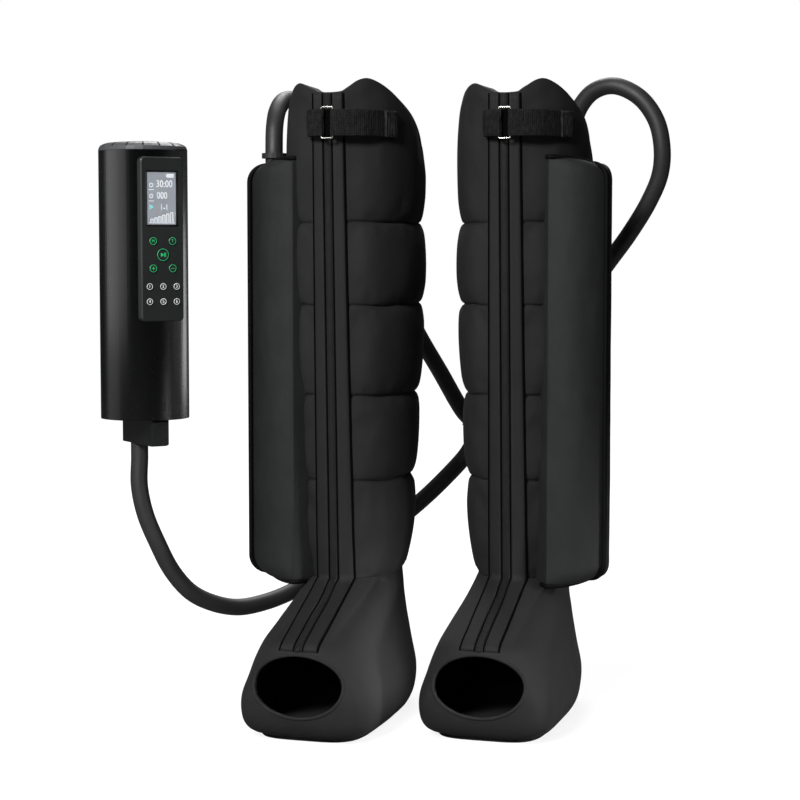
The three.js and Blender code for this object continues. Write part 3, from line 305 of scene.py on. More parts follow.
def glow_material(name, colour, strength):
    made = Nodes(name, colour, 0.5, Emission_Strength=strength)
    made.shader.inputs["Emission Color"].default_value = (*colour, 1)
    made.bump(made.noise(2000, 2), 0.00001, 0.3)
    return made.material


CLOTH = cloth_material("boot_cloth", (0.0045, 0.0045, 0.0048), (0.0075, 0.0075, 0.008))
FOOT_CLOTH = cloth_material("foot_cloth", (0.0055, 0.0055, 0.0058), (0.0085, 0.0085, 0.009))
COVER_CLOTH = cloth_material(
    "cover_cloth", (0.0055, 0.006, 0.006), (0.0088, 0.0096, 0.0096), 0.7, 0.0007, 0.36,
)
TAPE_CLOTH = cloth_material(
    "tape_cloth", (0.003, 0.003, 0.0033), (0.0055, 0.0055, 0.006), 0.75, 0.0006, 0.4,
)
SOLE_CLOTH = cloth_material(
    "sole_cloth", (0.003, 0.003, 0.003), (0.006, 0.006, 0.006), 0.9, 0.0016, 0.3,
)
WEBBING = webbing_material("webbing", (0.0008, 0.0008, 0.0008), (0.0085, 0.0085, 0.009), 0.25)
WEBBING_END = webbing_material("webbing_end", (0.002, 0.002, 0.002), (0.024, 0.024, 0.025), 0.4)
# near-black cloth for strips that stand in for the shade in the placket's sewn grooves, in the gaps
# beside the coil and in the ring's opening: painted shade
SEAM = cloth_material("seam", (0.0004, 0.0004, 0.0004), (0.001, 0.001, 0.001), 0.9, 0.0008, 0.05)
PIPING = cloth_material("piping", (0.0008, 0.0008, 0.0008), (0.002, 0.002, 0.002), 0.7, 0.0008, 0.1)
HOSE = plastic_material("hose", (0.012, 0.012, 0.0123), (0.017, 0.017, 0.0175), 0.55, grain=0.00004)
RUBBER = plastic_material("rubber", (0.008, 0.008, 0.008), (0.013, 0.013, 0.013), 0.6)
CASING = plastic_material(
    "casing", (0.0025, 0.003, 0.0034), (0.004, 0.0045, 0.005), 0.27,
    grain=0.000006, uneven=(0.95, 1.05),
)
PANEL = plastic_material("panel", (0.014, 0.0155, 0.0155), (0.019, 0.0205, 0.0205), 0.4)
BUTTON = plastic_material("button", (0.012, 0.0135, 0.0135), (0.017, 0.0185, 0.0185), 0.45)
CAP = plastic_material("silver_gloss", (0.05, 0.051, 0.054), (0.075, 0.076, 0.08), 0.42)
# near-black inlay for the shade inside the cap's air slots: painted shade
SLOT_SHADE = plastic_material(
    "slot_painted_shade", (0.0006, 0.0006, 0.0006), (0.001, 0.001, 0.001), 0.8, specular=0.05,
)
STEEL = metal_material("steel", (0.5, 0.49, 0.46), (0.66, 0.65, 0.62), 0.24)
GUNMETAL = metal_material("gunmetal", (0.1, 0.1, 0.1), (0.16, 0.16, 0.158), 0.35)
ZIP = plastic_material("zip_coil", (0.003, 0.003, 0.003), (0.006, 0.006, 0.006), 0.75, specular=0.3)
BOARD = plastic_material("board", (0.01, 0.09, 0.04), (0.015, 0.12, 0.055), 0.5)
CELLS = plastic_material("cells", (0.03, 0.07, 0.19), (0.04, 0.09, 0.24), 0.45)
MODULE = plastic_material("module_grey", (0.2, 0.21, 0.22), (0.26, 0.27, 0.28), 0.4)
AIR_PIPE = plastic_material("air_pipe", (0.03, 0.03, 0.031), (0.045, 0.045, 0.046), 0.6)
SCREEN = glow_material("screen", (0.26, 0.275, 0.3), 0.9)
INK = glow_material("ink", (0.85, 0.88, 0.92), 0.9)
TEAL = glow_material("teal_ink", (0.25, 0.8, 0.75), 0.8)
# the buttons' green and white print, made to glow as well: painted light added to the print colour
GREEN = glow_material("green_print_glow", (0.012, 0.36, 0.12), 0.6)
WHITE = glow_material("white_print_glow", (0.75, 0.76, 0.77), 0.35)
WINDOW = Nodes("window", (0.95, 0.96, 0.97), 0.03, Transmission_Weight=1.0, IOR=1.3)
WINDOW.bump(WINDOW.noise(400, 2), 0.000004, 0.2)

# hoses: the same free routes as the CAD, from its ends and splitter arms
HOSE_DIAMETER = 0.02
SPLITTER = Vector((0.098, 0.183, 0.305))
ARMS = {
    "controller_hose": Vector((-23, -4, -36)).normalized(),
    "left_hose": Vector((-27, -7, 33)).normalized(),
    "right_hose": Vector((45, 17, 64)).normalized(),
}
ARM_REACHES = (0.036, 0.0223)
PLUG_END = Vector((-0.24567, -0.06114, 0.3047))
PIPE_END = Vector((-0.08227, -0.0475, 0.6083))
SOCKET_END = Vector((0.21, 0.176, 0.6123))
ROUTES = {
    "controller_hose": [
        PLUG_END, PLUG_END - Vector((0, 0, 0.018)), (-0.246, -0.062, 0.255),
        (-0.24, -0.06, 0.222), (-0.228, -0.054, 0.188), (-0.213, -0.045, 0.153),
        (-0.195, -0.032, 0.127), (-0.175, -0.013, 0.112), (-0.154, 0.012, 0.104),
        (-0.132, 0.042, 0.106), (-0.109, 0.077, 0.115), (-0.077, 0.112, 0.135),
        (-0.037, 0.14, 0.166), (0.002, 0.16, 0.198), (0.04, 0.173, 0.233),
    ],
    "left_hose": [
        PIPE_END, PIPE_END + Vector((0, 0, 0.014)), PIPE_END + Vector((0, 0, 0.032)),
        (-0.084, -0.041, 0.666), (-0.088, -0.021, 0.686), (-0.091, 0.012, 0.7),
        (-0.089, 0.057, 0.701), (-0.08, 0.101, 0.688), (-0.067, 0.134, 0.654),
        (-0.047, 0.151, 0.594), (-0.021, 0.161, 0.521), (0.003, 0.167, 0.461),
        (0.025, 0.17, 0.419), (0.049, 0.174, 0.378),
    ],
    "right_hose": [
        SOCKET_END, SOCKET_END + Vector((0, 0, 0.014)), (0.21, 0.176, 0.646), (0.213, 0.174, 0.672),
        (0.222, 0.17, 0.696), (0.24, 0.164, 0.714), (0.266, 0.157, 0.719), (0.296, 0.154, 0.705),
        (0.316, 0.154, 0.678), (0.323, 0.156, 0.646), (0.32, 0.162, 0.616), (0.306, 0.17, 0.585),
        (0.281, 0.183, 0.548), (0.252, 0.2, 0.513), (0.223, 0.215, 0.478), (0.183, 0.215, 0.426),
        (0.147, 0.202, 0.375),
    ],
}
# What each hose ends in: the left one carries the branch piece, the right one joins it and the
# controller's ends in the plug.
FAR_ENDS = {
    "left_hose": ("fitting", ["hose_splitter"]),
    "right_hose": ("object", []),
    "controller_hose": ("connector", ["hose_plug"]),
}
for name, start in ROUTES.items():
    line = catmull_rom([*start, *(SPLITTER + ARMS[name] * reach for reach in ARM_REACHES)], 10)
    hose = tube(name + "_skin", line, HOSE_DIAMETER / 2, sides=10)
    finish_piece(hose, HOSE, "boots", "hose", [name])
    far_end, pieces = FAR_ENDS[name]
    leaves = line[-1] if far_end == "connector" else line[0]
    length = sum((b - a).length for a, b in zip(line, line[1:]))
    tuple(leaves)
    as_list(pieces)

# the boots' form: plan sections from the sole up, as squared ovals, in millimetres; each row is
# height, half width, reach behind and in front, depth of its widest line, squareness of toe, heel
FOOT_SECTIONS = [
    (3, 60, 78, 186, -105, 4, 2.6), (9, 68, 86, 195, -110, 5, 2.6), (22, 73, 92, 201, -110, 6, 2.6),
    (45, 74, 95, 203, -110, 6, 2.6), (70, 69, 95, 202, -100, 4.5, 2.5),
    (92, 64, 93, 200, -85, 3.4, 2.4), (104, 61, 92, 194, -70, 3, 2.3),
    (117, 58, 90, 168, -50, 2.6, 2.2), (131, 55, 88, 140, -30, 2.3, 2.1),
    (145, 52.5, 85, 111, -12, 2.1, 2), (160, 49.5, 80, 80, 0, 2, 2),
]
LEG_SECTIONS = [
    (160, 49.5, 80, 80, 0, 2, 2), (215, 57.5, 86, 82, 0, 2, 2), (270, 60.5, 90, 84, 0, 2, 2),
    (366, 65.5, 95, 87.5, 0, 2, 2), (468, 70.5, 98, 91.4, 0, 2, 2), (640, 70, 100, 97.7, 0, 2, 2),
    (740, 68, 100, 101.4, 0, 2, 2),
]
RIM = [
    (-180, 640), (-110, 650), (-80, 678), (-62, 698), (-45, 709), (-32, 712), (-20, 706),
    (-10, 701), (12, 701), (19, 706), (27, 713), (36, 716), (46, 712), (57, 704), (68, 694),
    (84, 680), (100, 664), (115, 652), (180, 640),
]
RIM_DROP = 1.5
ANKLE = 160
SEAMS = [160, 270, 365, 466, 557]
RIM_FRONT = 701
WALL = 13
BULGE = 5
PLACKET_TOP = 16.5  # the placket's half widths at the rim and at the ankle
PLACKET_ANKLE = 20.5
ASIDE = 99  # stands for "not on the front" where a sideways distance is asked for


def between(table, value):
    """The table's row at a value, on smooth curves through its rows."""
    last = len(table) - 2
    index = 0
    while index < last and table[index + 1][0] < value:
        index += 1
    a, b = table[index], table[index + 1]
    before = table[index - 1] if index > 0 else a
    after = table[index + 2] if index < last else b
    span = b[0] - a[0]
    t = min(1.0, max(0.0, (value - a[0]) / span))
    row = []
    for k in range(len(a)):
        slope_a = (b[k] - before[k]) / max(1e-6, b[0] - before[0]) * span
        slope_b = (after[k] - a[k]) / max(1e-6, after[0] - a[0]) * span
        row.append(
            a[k] * (2 * t ** 3 - 3 * t ** 2 + 1) + slope_a * (t ** 3 - 2 * t ** 2 + t)
            + b[k] * (3 * t ** 2 - 2 * t ** 3) + slope_b * (t ** 3 - t ** 2)
        )
    return row


def section_at(height):
    return between(LEG_SECTIONS if height > ANKLE else FOOT_SECTIONS, height)


def signed_power(value, power):
    return math.copysign(abs(value) ** power, value)


def outline_point(section, degrees, out=0.0):
    """A point of a section's outline and the way it faces, at an angle from the front."""
    _, wide, back, front, middle, toe, heel = section
    angle = math.radians(degrees)
    ahead = math.cos(angle) > 0
    square = toe if ahead else heel
    reach = front + middle if ahead else back - middle
    side = signed_power(math.sin(angle), 2 / square)
    along = signed_power(math.cos(angle), 2 / square)
    slope = signed_power(side, square - 1), signed_power(along, square - 1)
    normal = Vector((slope[0] / wide, -slope[1] / reach)).normalized()
    return Vector((wide * side, middle - reach * along)) + normal * out, normal


def rim_height(degrees):
    return between(RIM, degrees)[1] - RIM_DROP


def swell(height, degrees, rim):
    """How far a chamber swells: not at its seams and the placket, most half way between seams."""
    edges = [*SEAMS, rim]
    low = max(i for i, edge in enumerate(edges[:-1]) if edge <= height + 1e-6)
    share = min(1.0, (height - edges[low]) / (edges[low + 1] - edges[low]))
    wide = section_at(height)[1]
    aside = 90 if abs(degrees) > 90 else wide * math.sin(math.radians(abs(degrees)))
    return math.sin(math.pi * share) ** 0.6 * smoothstep(aside, PLACKET_ANKLE + 0.5, 40)


def seam_distance(height):
    return min(abs(height - seam) for seam in SEAMS[1:])


def ring_degrees(count):
    """Angles all round a boot: from its front to 180 degrees, then from -180 back to the front."""
    turns = (360 * column / count for column in range(count))
    return [turn - 360 if turn > 180 else turn for turn in turns]


LEG_COLUMNS = 132
LEG_ROWS = 150
SEAM_CROWDING = 0.82
WRINKLE_SEED = Vector((3.1, 7.7, 1.3))
STITCH_DRAW = 2.1  # how deep the narrow sewn channel is, and the broad dip beside it
DIP_DRAW = 0.9


def leg_height(row, degrees):
    """Heights crowd at each chamber's seams and follow the rim in the highest one."""
    per = LEG_ROWS / len(SEAMS)
    chamber = min(len(SEAMS) - 1, int(row / per))
    share = (row - chamber * per) / per
    share -= SEAM_CROWDING * math.sin(2 * math.pi * share) / (2 * math.pi)
    high = SEAMS[chamber + 1] if chamber + 1 < len(SEAMS) else rim_height(degrees)
    return lerp(SEAMS[chamber], high, share)


def leg_skin():
    """The padded leg: chambers pinned at their seams and puffed up by simulation."""
    points = []
    pinned = []
    for row in range(LEG_ROWS + 1):
        for degrees in ring_degrees(LEG_COLUMNS):
            height = leg_height(row, degrees)
            puff = swell(height, degrees, rim_height(degrees))
            place, normal = outline_point(section_at(height), degrees)
            wrinkle = noise.noise(Vector((degrees * 0.06, height * 0.012, 0)) + WRINKLE_SEED)
            pucker = noise.noise(Vector((degrees * 0.22, height * 0.006, 5)) + WRINKLE_SEED)
            near = math.exp(-(seam_distance(height) / 14) ** 2)
            place += normal * (puff * (BULGE * 0.72 + 0.9 * wrinkle) + 1.3 * pucker * near * puff)
            points.append(Vector((*place, height)) * MM)
            aside = abs(place.x) if abs(degrees) < 90 else ASIDE
            at_seam = row % (LEG_ROWS // len(SEAMS)) == 0 or row >= LEG_ROWS - 1
            pinned.append(1.0 if at_seam or aside < PLACKET_ANKLE + 1 else 0.0)
    skin = mesh_object("leg_skin", points, grid_faces(LEG_ROWS + 1, LEG_COLUMNS, closed=True))
    puff_up(skin, pinned)
    # the seams draw in as sharp sewn channels
    for vertex in skin.data.vertices:
        height = vertex.co.z / MM
        flat = Vector((vertex.co.x, vertex.co.y))
        degrees = math.degrees(math.atan2(vertex.co.x, -vertex.co.y))
        beside = smoothstep(abs(flat.x) / MM if abs(degrees) < 90 else ASIDE, 18, 22)
        off = seam_distance(height)
        uneven = 1 + 0.3 * noise.noise(Vector((degrees * 0.09, height * 0.02, 7)))
        draw = STITCH_DRAW * math.exp(-(off / 1.5) ** 2) + DIP_DRAW * math.exp(-(off / 6) ** 2)
        draw *= beside * uneven
        if height < ANKLE + 6:
            draw = 0.6
        vertex.co -= Vector((*flat.normalized(), 0)) * draw * MM
        wander = noise.noise(Vector((degrees * 0.035, round(height / 95) * 3.7, 2)))
        vertex.co.z += 2.6 * wander * math.exp(-(off / 16) ** 2) * beside * MM
    return skin


CLOTH_SETTINGS = {
    "quality": 5, "mass": 0.3, "tension_stiffness": 25, "compression_stiffness": 25,
    "bending_stiffness": 1.2, "air_damping": 4, "vertex_group_mass": "sewn", "shrink_min": -0.02,
    "use_pressure": True, "uniform_pressure_force": 3,
}
CLOTH_FRAMES = 20
PUFF_LIMIT = 2.2


def puff_up(skin, pinned):
    """Air pressure against sewn seams: the cloth is too large between them, so it puckers."""
    group = skin.vertex_groups.new(name="sewn")
    for index, weight in enumerate(pinned):
        if weight:
            group.add([index], weight, "ADD")
    start = [vertex.co.copy() for vertex in skin.data.vertices]
    settings = skin.modifiers.new("cloth", "CLOTH").settings
    for key, value in CLOTH_SETTINGS.items():
        setattr(settings, key, value)
    settings.effector_weights.gravity = 0
    scene = bpy.context.scene
    for number in range(1, CLOTH_FRAMES + 1):
        scene.frame_set(number)
    apply_modifiers(skin)
    scene.frame_set(1)
    skin.vertex_groups.clear()
    moved = [vertex.co - before for vertex, before in zip(skin.data.vertices, start)]
    for _ in range(4):
        moved = smoothed_grid(moved, LEG_COLUMNS)
    for vertex, before, shift in zip(skin.data.vertices, start, moved):
        height = before.z / MM
        below_rim = rim_height(math.degrees(math.atan2(before.x, -before.y))) - height
        most = PUFF_LIMIT * smoothstep(seam_distance(height), 0, 12) * smoothstep(below_rim, 0, 26)
        vertex.co = before + shift * min(1.0, most * MM / max(1e-9, shift.length))


def smoothed_grid(values, columns):
    """Each value of a closed grid blended with its four neighbours."""
    count = len(values)
    blended = []
    for i, value in enumerate(values):
        row = i - i % columns
        beside = values[row + (i + 1) % columns] + values[row + (i - 1) % columns]
        stacked = values[min(count - 1, i + columns)] + values[max(0, i - columns)]
        blended.append(value * 0.5 + (beside + stacked) * 0.125)
    return blended


def close_wall(obj, thickness):
    solidify = obj.modifiers.new("wall", "SOLIDIFY")
    solidify.thickness = thickness
    solidify.offset = -1
    solidify.use_rim = True
    apply_modifiers(obj)
    return obj


# the foot's skin
FOOT_COLUMNS = 144
FOOT_ROWS = 72
FOOT_WALL = 8.5
FOOT_LOW = 3.3
TOE_HALF_WIDTH = 51
TOE_HALF_HEIGHT = 34
TOE_HEIGHT = 62
TOE_CUT = (-240, -120)
OVAL_POINTS = 96
BINDING_RADIUS = 2.1

# Soft creases of the foot: angle from the front and height at both ends, half breadth and depth,
# in degrees and mm
CREASES = [
    ((-16, 156), (-40, 108), 7, 2.4), ((62, 152), (24, 104), 6, 6.5),
    ((80, 158), (112, 128), 9, 1.8), ((-80, 158), (-115, 126), 9, 1.6),
    ((-8, 62), (-24, 52), 4, 0.8), ((30, 98), (52, 60), 12, 1.6),
    ((-36, 96), (-56, 64), 10, 1.2), ((150, 150), (-150, 142), 7, 1.2),
]


def crease_depth(degrees, height):
    depth = 0.0
    here = Vector((degrees, height))
    for start, end, breadth, deep in CREASES:
        a, b = Vector(start), Vector(end)
        if b.x - a.x < -180:
            b.x += 360
        for shift in (0, 360):
            point = here + Vector((shift if degrees < 0 else 0, 0))
            along = max(0.0, min(1.0, (point - a).dot(b - a) / (b - a).length_squared))
            distance = (point - a.lerp(b, along)).length
            depth = max(depth, deep * math.exp(-(distance / breadth) ** 2) * (1 - 0.4 * along))
    return depth


def instep_sag(x, height):
    """How far the instep sinks under the placket, where the foot bends."""
    across = (x + 0.5 * (height - 142)) / 12
    return 6.5 * math.exp(-((height - 140) / 12) ** 2 - across ** 2)


def foot_skin():
    points = []
    for row in range(FOOT_ROWS + 1):
        height = lerp(FOOT_LOW, ANKLE, (row / FOOT_ROWS) ** 0.9)
        section = section_at(height if row else 3)
        for degrees in ring_degrees(FOOT_COLUMNS):
            place, normal = outline_point(section, degrees)
            soft = noise.noise(Vector((*place, height)) * 0.02 + WRINKLE_SEED)
            aside = abs(place.x) if place.y < 0 else ASIDE
            clear = smoothstep(aside, 20, 26) if height > 100 else 1.0
            out = (1.0 * soft - crease_depth(degrees, height)) * clear
            if place.y < 0:
                out -= instep_sag(place.x, height)
            place += normal * out
            points.append(Vector((*place, height)) * MM)
    base = len(points)
    points.append(Vector((0, -55, FOOT_LOW)) * MM)
    faces = grid_faces(FOOT_ROWS + 1, FOOT_COLUMNS, closed=True)
    faces += [(base, (i + 1) % FOOT_COLUMNS, i) for i in range(FOOT_COLUMNS)]
    skin = mesh_object("foot_skin", points, faces)
    close_wall(skin, FOOT_WALL * MM)
    cutter = toe_tunnel()
    hole = skin.modifiers.new("toe", "BOOLEAN")
    hole.operation = "DIFFERENCE"
    hole.solver = "EXACT"
    hole.object = cutter
    apply_modifiers(skin)
    bpy.data.objects.remove(cutter)
    shade(skin.data)
    skin.data.set_sharp_from_angle(angle=math.radians(50))
    return skin


def toe_oval(grow=0.0):
    """Points across and up round the toe opening."""
    turns = [2 * math.pi * i / OVAL_POINTS for i in range(OVAL_POINTS)]
    wide, high = TOE_HALF_WIDTH + grow, TOE_HALF_HEIGHT + grow
    return [(wide * math.cos(turn), TOE_HEIGHT + high * math.sin(turn)) for turn in turns]


def toe_tunnel():
    points = [Vector((x, y, z)) * MM for y in TOE_CUT for x, z in toe_oval()]
    faces = grid_faces(2, OVAL_POINTS, closed=True)
    faces += [tuple(range(OVAL_POINTS)), tuple(range(OVAL_POINTS, 2 * OVAL_POINTS))]
    return mesh_object("toe_cutter", points, faces)


def front_depth(x, height):
    """How far forward the boot's outside is at a sideways place and height."""
    _, wide, _, front, middle, toe, _ = section_at(height)
    part = min(1.0, abs(x / wide) ** toe)
    return middle - (front + middle) * (1 - part) ** (1 / toe)


def toe_binding():
    """The rolled edge of the toe opening."""
    line = [Vector((x, front_depth(x, z) + 1.0, z)) * MM for x, z in toe_oval(0.2)]
    return as_mesh(tube("toe_binding", line, BINDING_RADIUS * MM, closed=True, sides=3))


def sole_sheet():
    rings = [(0.0, 3.2), (0.2, 1.6), (1.4, 0.4), (3.0, 0.4)]
    points = []
    for height, inset in rings:
        for i in range(OVAL_POINTS):
            place, _ = outline_point(FOOT_SECTIONS[0], 360 * i / OVAL_POINTS, -inset)
            points.append(Vector((*place, height)) * MM)
    faces = grid_faces(len(rings), OVAL_POINTS, closed=True)
    faces.append(tuple(range(OVAL_POINTS - 1, -1, -1)))
    faces.append(tuple(range(OVAL_POINTS * 3, OVAL_POINTS * 4)))
    return mesh_object("sole_sheet", points, faces)


# the placket: two tapes and the zip coil down the front and along the instep
PATH_STOPS = [698, 640, 560, 468, 366, 270, 215, 190, 172, 160, 150, 140, 128, 116, 107, 99.5]
PATH_STEP = 7
PATH_END = PATH_STOPS[-1]
STRIP_END = 0.45
SAG_SHARE = 1.25
ZIP_HEIGHTS = []
for high, low in zip(PATH_STOPS, PATH_STOPS[1:]):
    steps = max(2, int((high - low) / PATH_STEP))
    ZIP_HEIGHTS += [lerp(high, low, i / steps) for i in range(steps)]
ZIP_HEIGHTS.append(PATH_END)


def surface_frame(x, height):
    """A point on the boot's front and its outward direction, in millimetres."""
    def spot(x, height):
        return Vector((x, front_depth(x, height) + SAG_SHARE * instep_sag(x, height), height))

    here = spot(x, height)
    normal = (spot(x + 1, height) - here).cross(spot(x, height + 1) - here).normalized()
    return here, -normal if normal.y > 0 else normal


def smoothed_frames(x_at):
    """Frames along the placket, turning smoothly at the ankle, for a sideways place by height."""
    places = [surface_frame(x_at(height), height) for height in ZIP_HEIGHTS]
    line = [place for place, _ in places]
    facing = [normal for _, normal in places]
    for _ in range(3):
        padded = [facing[0], *facing, facing[-1]]
        facing = [(a + b * 2 + c).normalized() for a, b, c in zip(padded, facing, padded[2:])]
    return list(zip(line, facing))


def placket_edge(height):
    """The half width of the placket, which widens down to the ankle."""
    share = min(1.0, max(0.0, (RIM_FRONT - height) / (RIM_FRONT - ANKLE - 8)))
    return lerp(PLACKET_TOP, PLACKET_ANKLE, share)


def strip(name, left, right, profile, base=0.3):
    """A strip between two sideways places; the profile gives its height across, from 0 to 1."""
    def frames_at(share):
        return smoothed_frames(lambda height: lerp(left(height), right(height), share))

    count = len(profile)
    rows = len(ZIP_HEIGHTS)
    ends = [smoothstep(height, PATH_END - 1, PATH_END + 6) for height in ZIP_HEIGHTS]
    top = []
    for share, high in profile:
        lifts = [lerp(STRIP_END, high, end) for end in ends]
        frames = frames_at(share)
        top.append([(point + normal * lift) * MM for (point, normal), lift in zip(frames, lifts)])
    floor = []
    for share, _ in (profile[0], profile[-1]):
        floor.append([(point + normal * base) * MM for point, normal in frames_at(share)])
    outer = [column[row] for row in range(rows) for column in top]
    inner = [column[row] for row in range(rows) for column in floor]
    faces = grid_faces(rows, count)
    first = len(outer)
    for row in range(rows - 1):
        low = first + row * 2
        faces.append((low, low + 2, low + 3, low + 1))
        faces.append((row * count, (row + 1) * count, low + 2, low))
        faces.append(((row + 1) * count - 1, low + 1, low + 3, (row + 2) * count - 1))
    for row in (0, rows - 1):
        across = range(row * count, (row + 1) * count)
        faces.append((*across, first + row * 2 + 1, first + row * 2))
    return mesh_object(name, outer + inner, faces)


COIL_HALF = 3.9  # the zip's coil, the dark gap beside it and the tape's inner edge, from the middle
TAPE_INNER = 5.8
GAP_OUTER = 6.0
BED_HALF = 4.2
TAPE_PROFILE = [
    (0.0, 1.2), (0.04, 2.0), (0.12, 2.3), (0.22, 2.1), (0.4, 1.9), (0.6, 1.9), (0.78, 1.9),
    (0.9, 1.8), (0.97, 1.4), (1.0, 0.7),
]
GROOVE_SHADE_PROFILE = [(0.0, 0.8), (0.25, 1.7), (0.75, 1.7), (1.0, 0.5)]
GAP_PROFILE = [(0.0, 0.9), (0.5, 1.2), (1.0, 0.9)]
BED_PROFILE = [(0, 1.0), (0.15, 1.6), (0.5, 1.8), (0.85, 1.6), (1, 1.0)]


def tape(way):
    outer = lambda height: placket_edge(height) * way
    return strip("tape", lambda height: TAPE_INNER * way, outer, TAPE_PROFILE)


def placket_groove_shade(way):
    """The sewn groove beside a tape's outer edge, drawn as a dark strip: painted shade."""
    near = lambda height: way * (placket_edge(height) - 0.5)
    return strip("placket_groove_shade", near, lambda height: near(height) + 2.5 * way, GROOVE_SHADE_PROFILE, -0.6)


def coil_gap_shade(way):
    """The gap between the coil and a tape, filled by a dark strip: painted shade."""
    outer = lambda height: GAP_OUTER * way
    return strip("coil_gap_shade", lambda height: COIL_HALF * way, outer, GAP_PROFILE, -0.6)


TOOTH_PITCH = 2.4


def zip_teeth():
    """Teeth in two rows that mesh."""
    points = []
    faces = []
    places = places_along(smoothed_frames(lambda height: 0), 1.0, TOOTH_PITCH / 2)
    for number, (centre, along, normals, share) in enumerate(places):
        normal = normals[0].lerp(normals[1], share).normalized()
        across = along.cross(normal).normalized()
        way = 1 if number % 2 else -1
        at = len(points)
        for lift, long, wide in ((0.4, 0.85, 2.2), (1.9, 0.85, 2.2), (2.2, 0.6, 1.8)):
            for u, v in ((-1, -1), (1, -1), (1, 1), (-1, 1)):
                aside = across * (wide * v + way * 0.9)
                points.append((centre + normal * lift + along * long * u + aside) * MM)
        faces += grid_faces(3, 4, closed=True, offset=at)
        faces += [(at, at + 3, at + 2, at + 1), (at + 8, at + 9, at + 10, at + 11)]
    return mesh_object("zip_teeth", points, faces, smooth=False)


def zip_bed():
    """The narrow tape under the teeth."""
    return strip("zip_bed", lambda height: -BED_HALF, lambda height: BED_HALF, BED_PROFILE, -0.4)


# straps, tab and ring
STRAP_Z = 665
STRAP_HALF = 14.5
RING_OUT = 13.5
RING_X = 4
RING_WIDTH = 15
RING_HEIGHT = 35.4
RING_WIRE = 1.9
WEBBING_THICKNESS = 1.5


def strap_point(degrees, out):
    puff = BULGE * swell(STRAP_Z - STRAP_HALF, degrees, RIM_FRONT)
    return outline_point(section_at(STRAP_Z), degrees, out + puff)[0]


def ring_centre(side):
    place, _ = outline_point(section_at(STRAP_Z), 0, RING_OUT)
    return Vector((RING_X + side * (RING_WIDTH - RING_WIRE) / 2, place.y))


def webbing_path(side, under, over):
    """In along the boot, round one bar of the ring and back over itself."""
    centre = ring_centre(side)
    turn = RING_WIRE / 2 + 0.3 + WEBBING_THICKNESS / 2
    bend = []
    for degrees in range(90, -91, -15):
        angle = math.radians(degrees)
        bend.append(centre + Vector((-side * turn * math.cos(angle), turn * math.sin(angle))))
    return smooth_ends(under, bend[0]) + bend + smooth_ends(over[::-1], bend[-1], after=True)


def smooth_ends(points, joint, after=False):
    """The points on a smooth line up to a joint, or from it on, without the joint itself."""
    line = [joint, *points] if after else [*points, joint]
    dense = catmull_rom(line, 5)
    return dense[1:] if after else dense[:-1]


def webbing(name, path, ripple, thickness=WEBBING_THICKNESS):
    """A band of webbing along a plan path, with a thick edge and a slight ripple."""
    rows = 17
    count = len(path)
    points = []
    for way in (1, -1):
        for row in range(rows):
            share = row / (rows - 1)
            z = STRAP_Z + (share * 2 - 1) * STRAP_HALF
            edge = 1.0 - 0.35 * (abs(share * 2 - 1) ** 12)
            for i, point in enumerate(path):
                along = (path[min(count - 1, i + 1)] - path[max(0, i - 1)]).normalized()
                normal = Vector((along.y, -along.x))
                wave = ripple * noise.noise(Vector((i * 0.55, share * 1.6, 4.0)))
                spot = point + normal * (way * thickness / 2 * edge + wave)
                points.append(Vector((*spot, z)) * MM)
    shift = rows * count
    faces = grid_faces(rows, count) + grid_faces(rows, count, offset=shift, flip=True)
    rims = []
    for column in (0, count - 1):
        rims += [(column + row * count, column + (row + 1) * count) for row in range(rows - 1)]
    for row in (0, rows - 1):
        rims += [(row * count + i, row * count + i + 1) for i in range(count - 1)]
    faces += [(a, b, b + shift, a + shift) for a, b in rims]
    return mesh_object(name, points, faces)


STRAP_DEGREES = [57, 48, 39, 30, 21]
TAB_DEGREES = [-17, -11]


def strap_path(side, degrees, under, over):
    def layer(outs):
        return [strap_point(turn, out) for turn, out in zip(degrees, outs)]

    return webbing_path(side, layer(under), layer(over))


def closing_strap():
    path = strap_path(1, STRAP_DEGREES, [2.2, 2.6, 3.4, 5.4, 8.6], [4.8, 5.4, 7, 10.6, 14.6])
    return webbing("closing_strap", path, 0.9)


def strap_tab():
    return webbing("strap_tab", strap_path(-1, TAB_DEGREES, [2.4, 6.8], [5, 12.8]), 1.9)


def ring_shade_sheet():
    """A dark sheet over the tab, seen through the ring, standing in for the shade under the loops:
    painted shade.
    """
    return webbing("ring_shade_sheet", [strap_point(turn, 9.4) for turn in range(-9, 16, 3)], 0.0, 0.8)


def strap_patch():
    """The strap's sewn end: its turned-in tip lies on top as a second layer."""
    turns = (57.3, 54.8, 52.3, 49.8, 47.3, 45.3)
    path = [strap_point(turn, 5.4 + (57.3 - turn) * 0.07) for turn in turns]
    return webbing("strap_patch", path, 0.25, 0.9)


STITCH_GAP = 2.6
STITCH_LONG = 1.9
STITCH_LIFT = WEBBING_THICKNESS / 2 + 0.15
THREAD_RADIUS = 0.32
STITCH_QUADS = [(0, 1, 3, 2), (2, 3, 5, 4), (4, 5, 7, 6), (0, 2, 4, 6), (1, 7, 5, 3), (0, 6, 7, 1)]


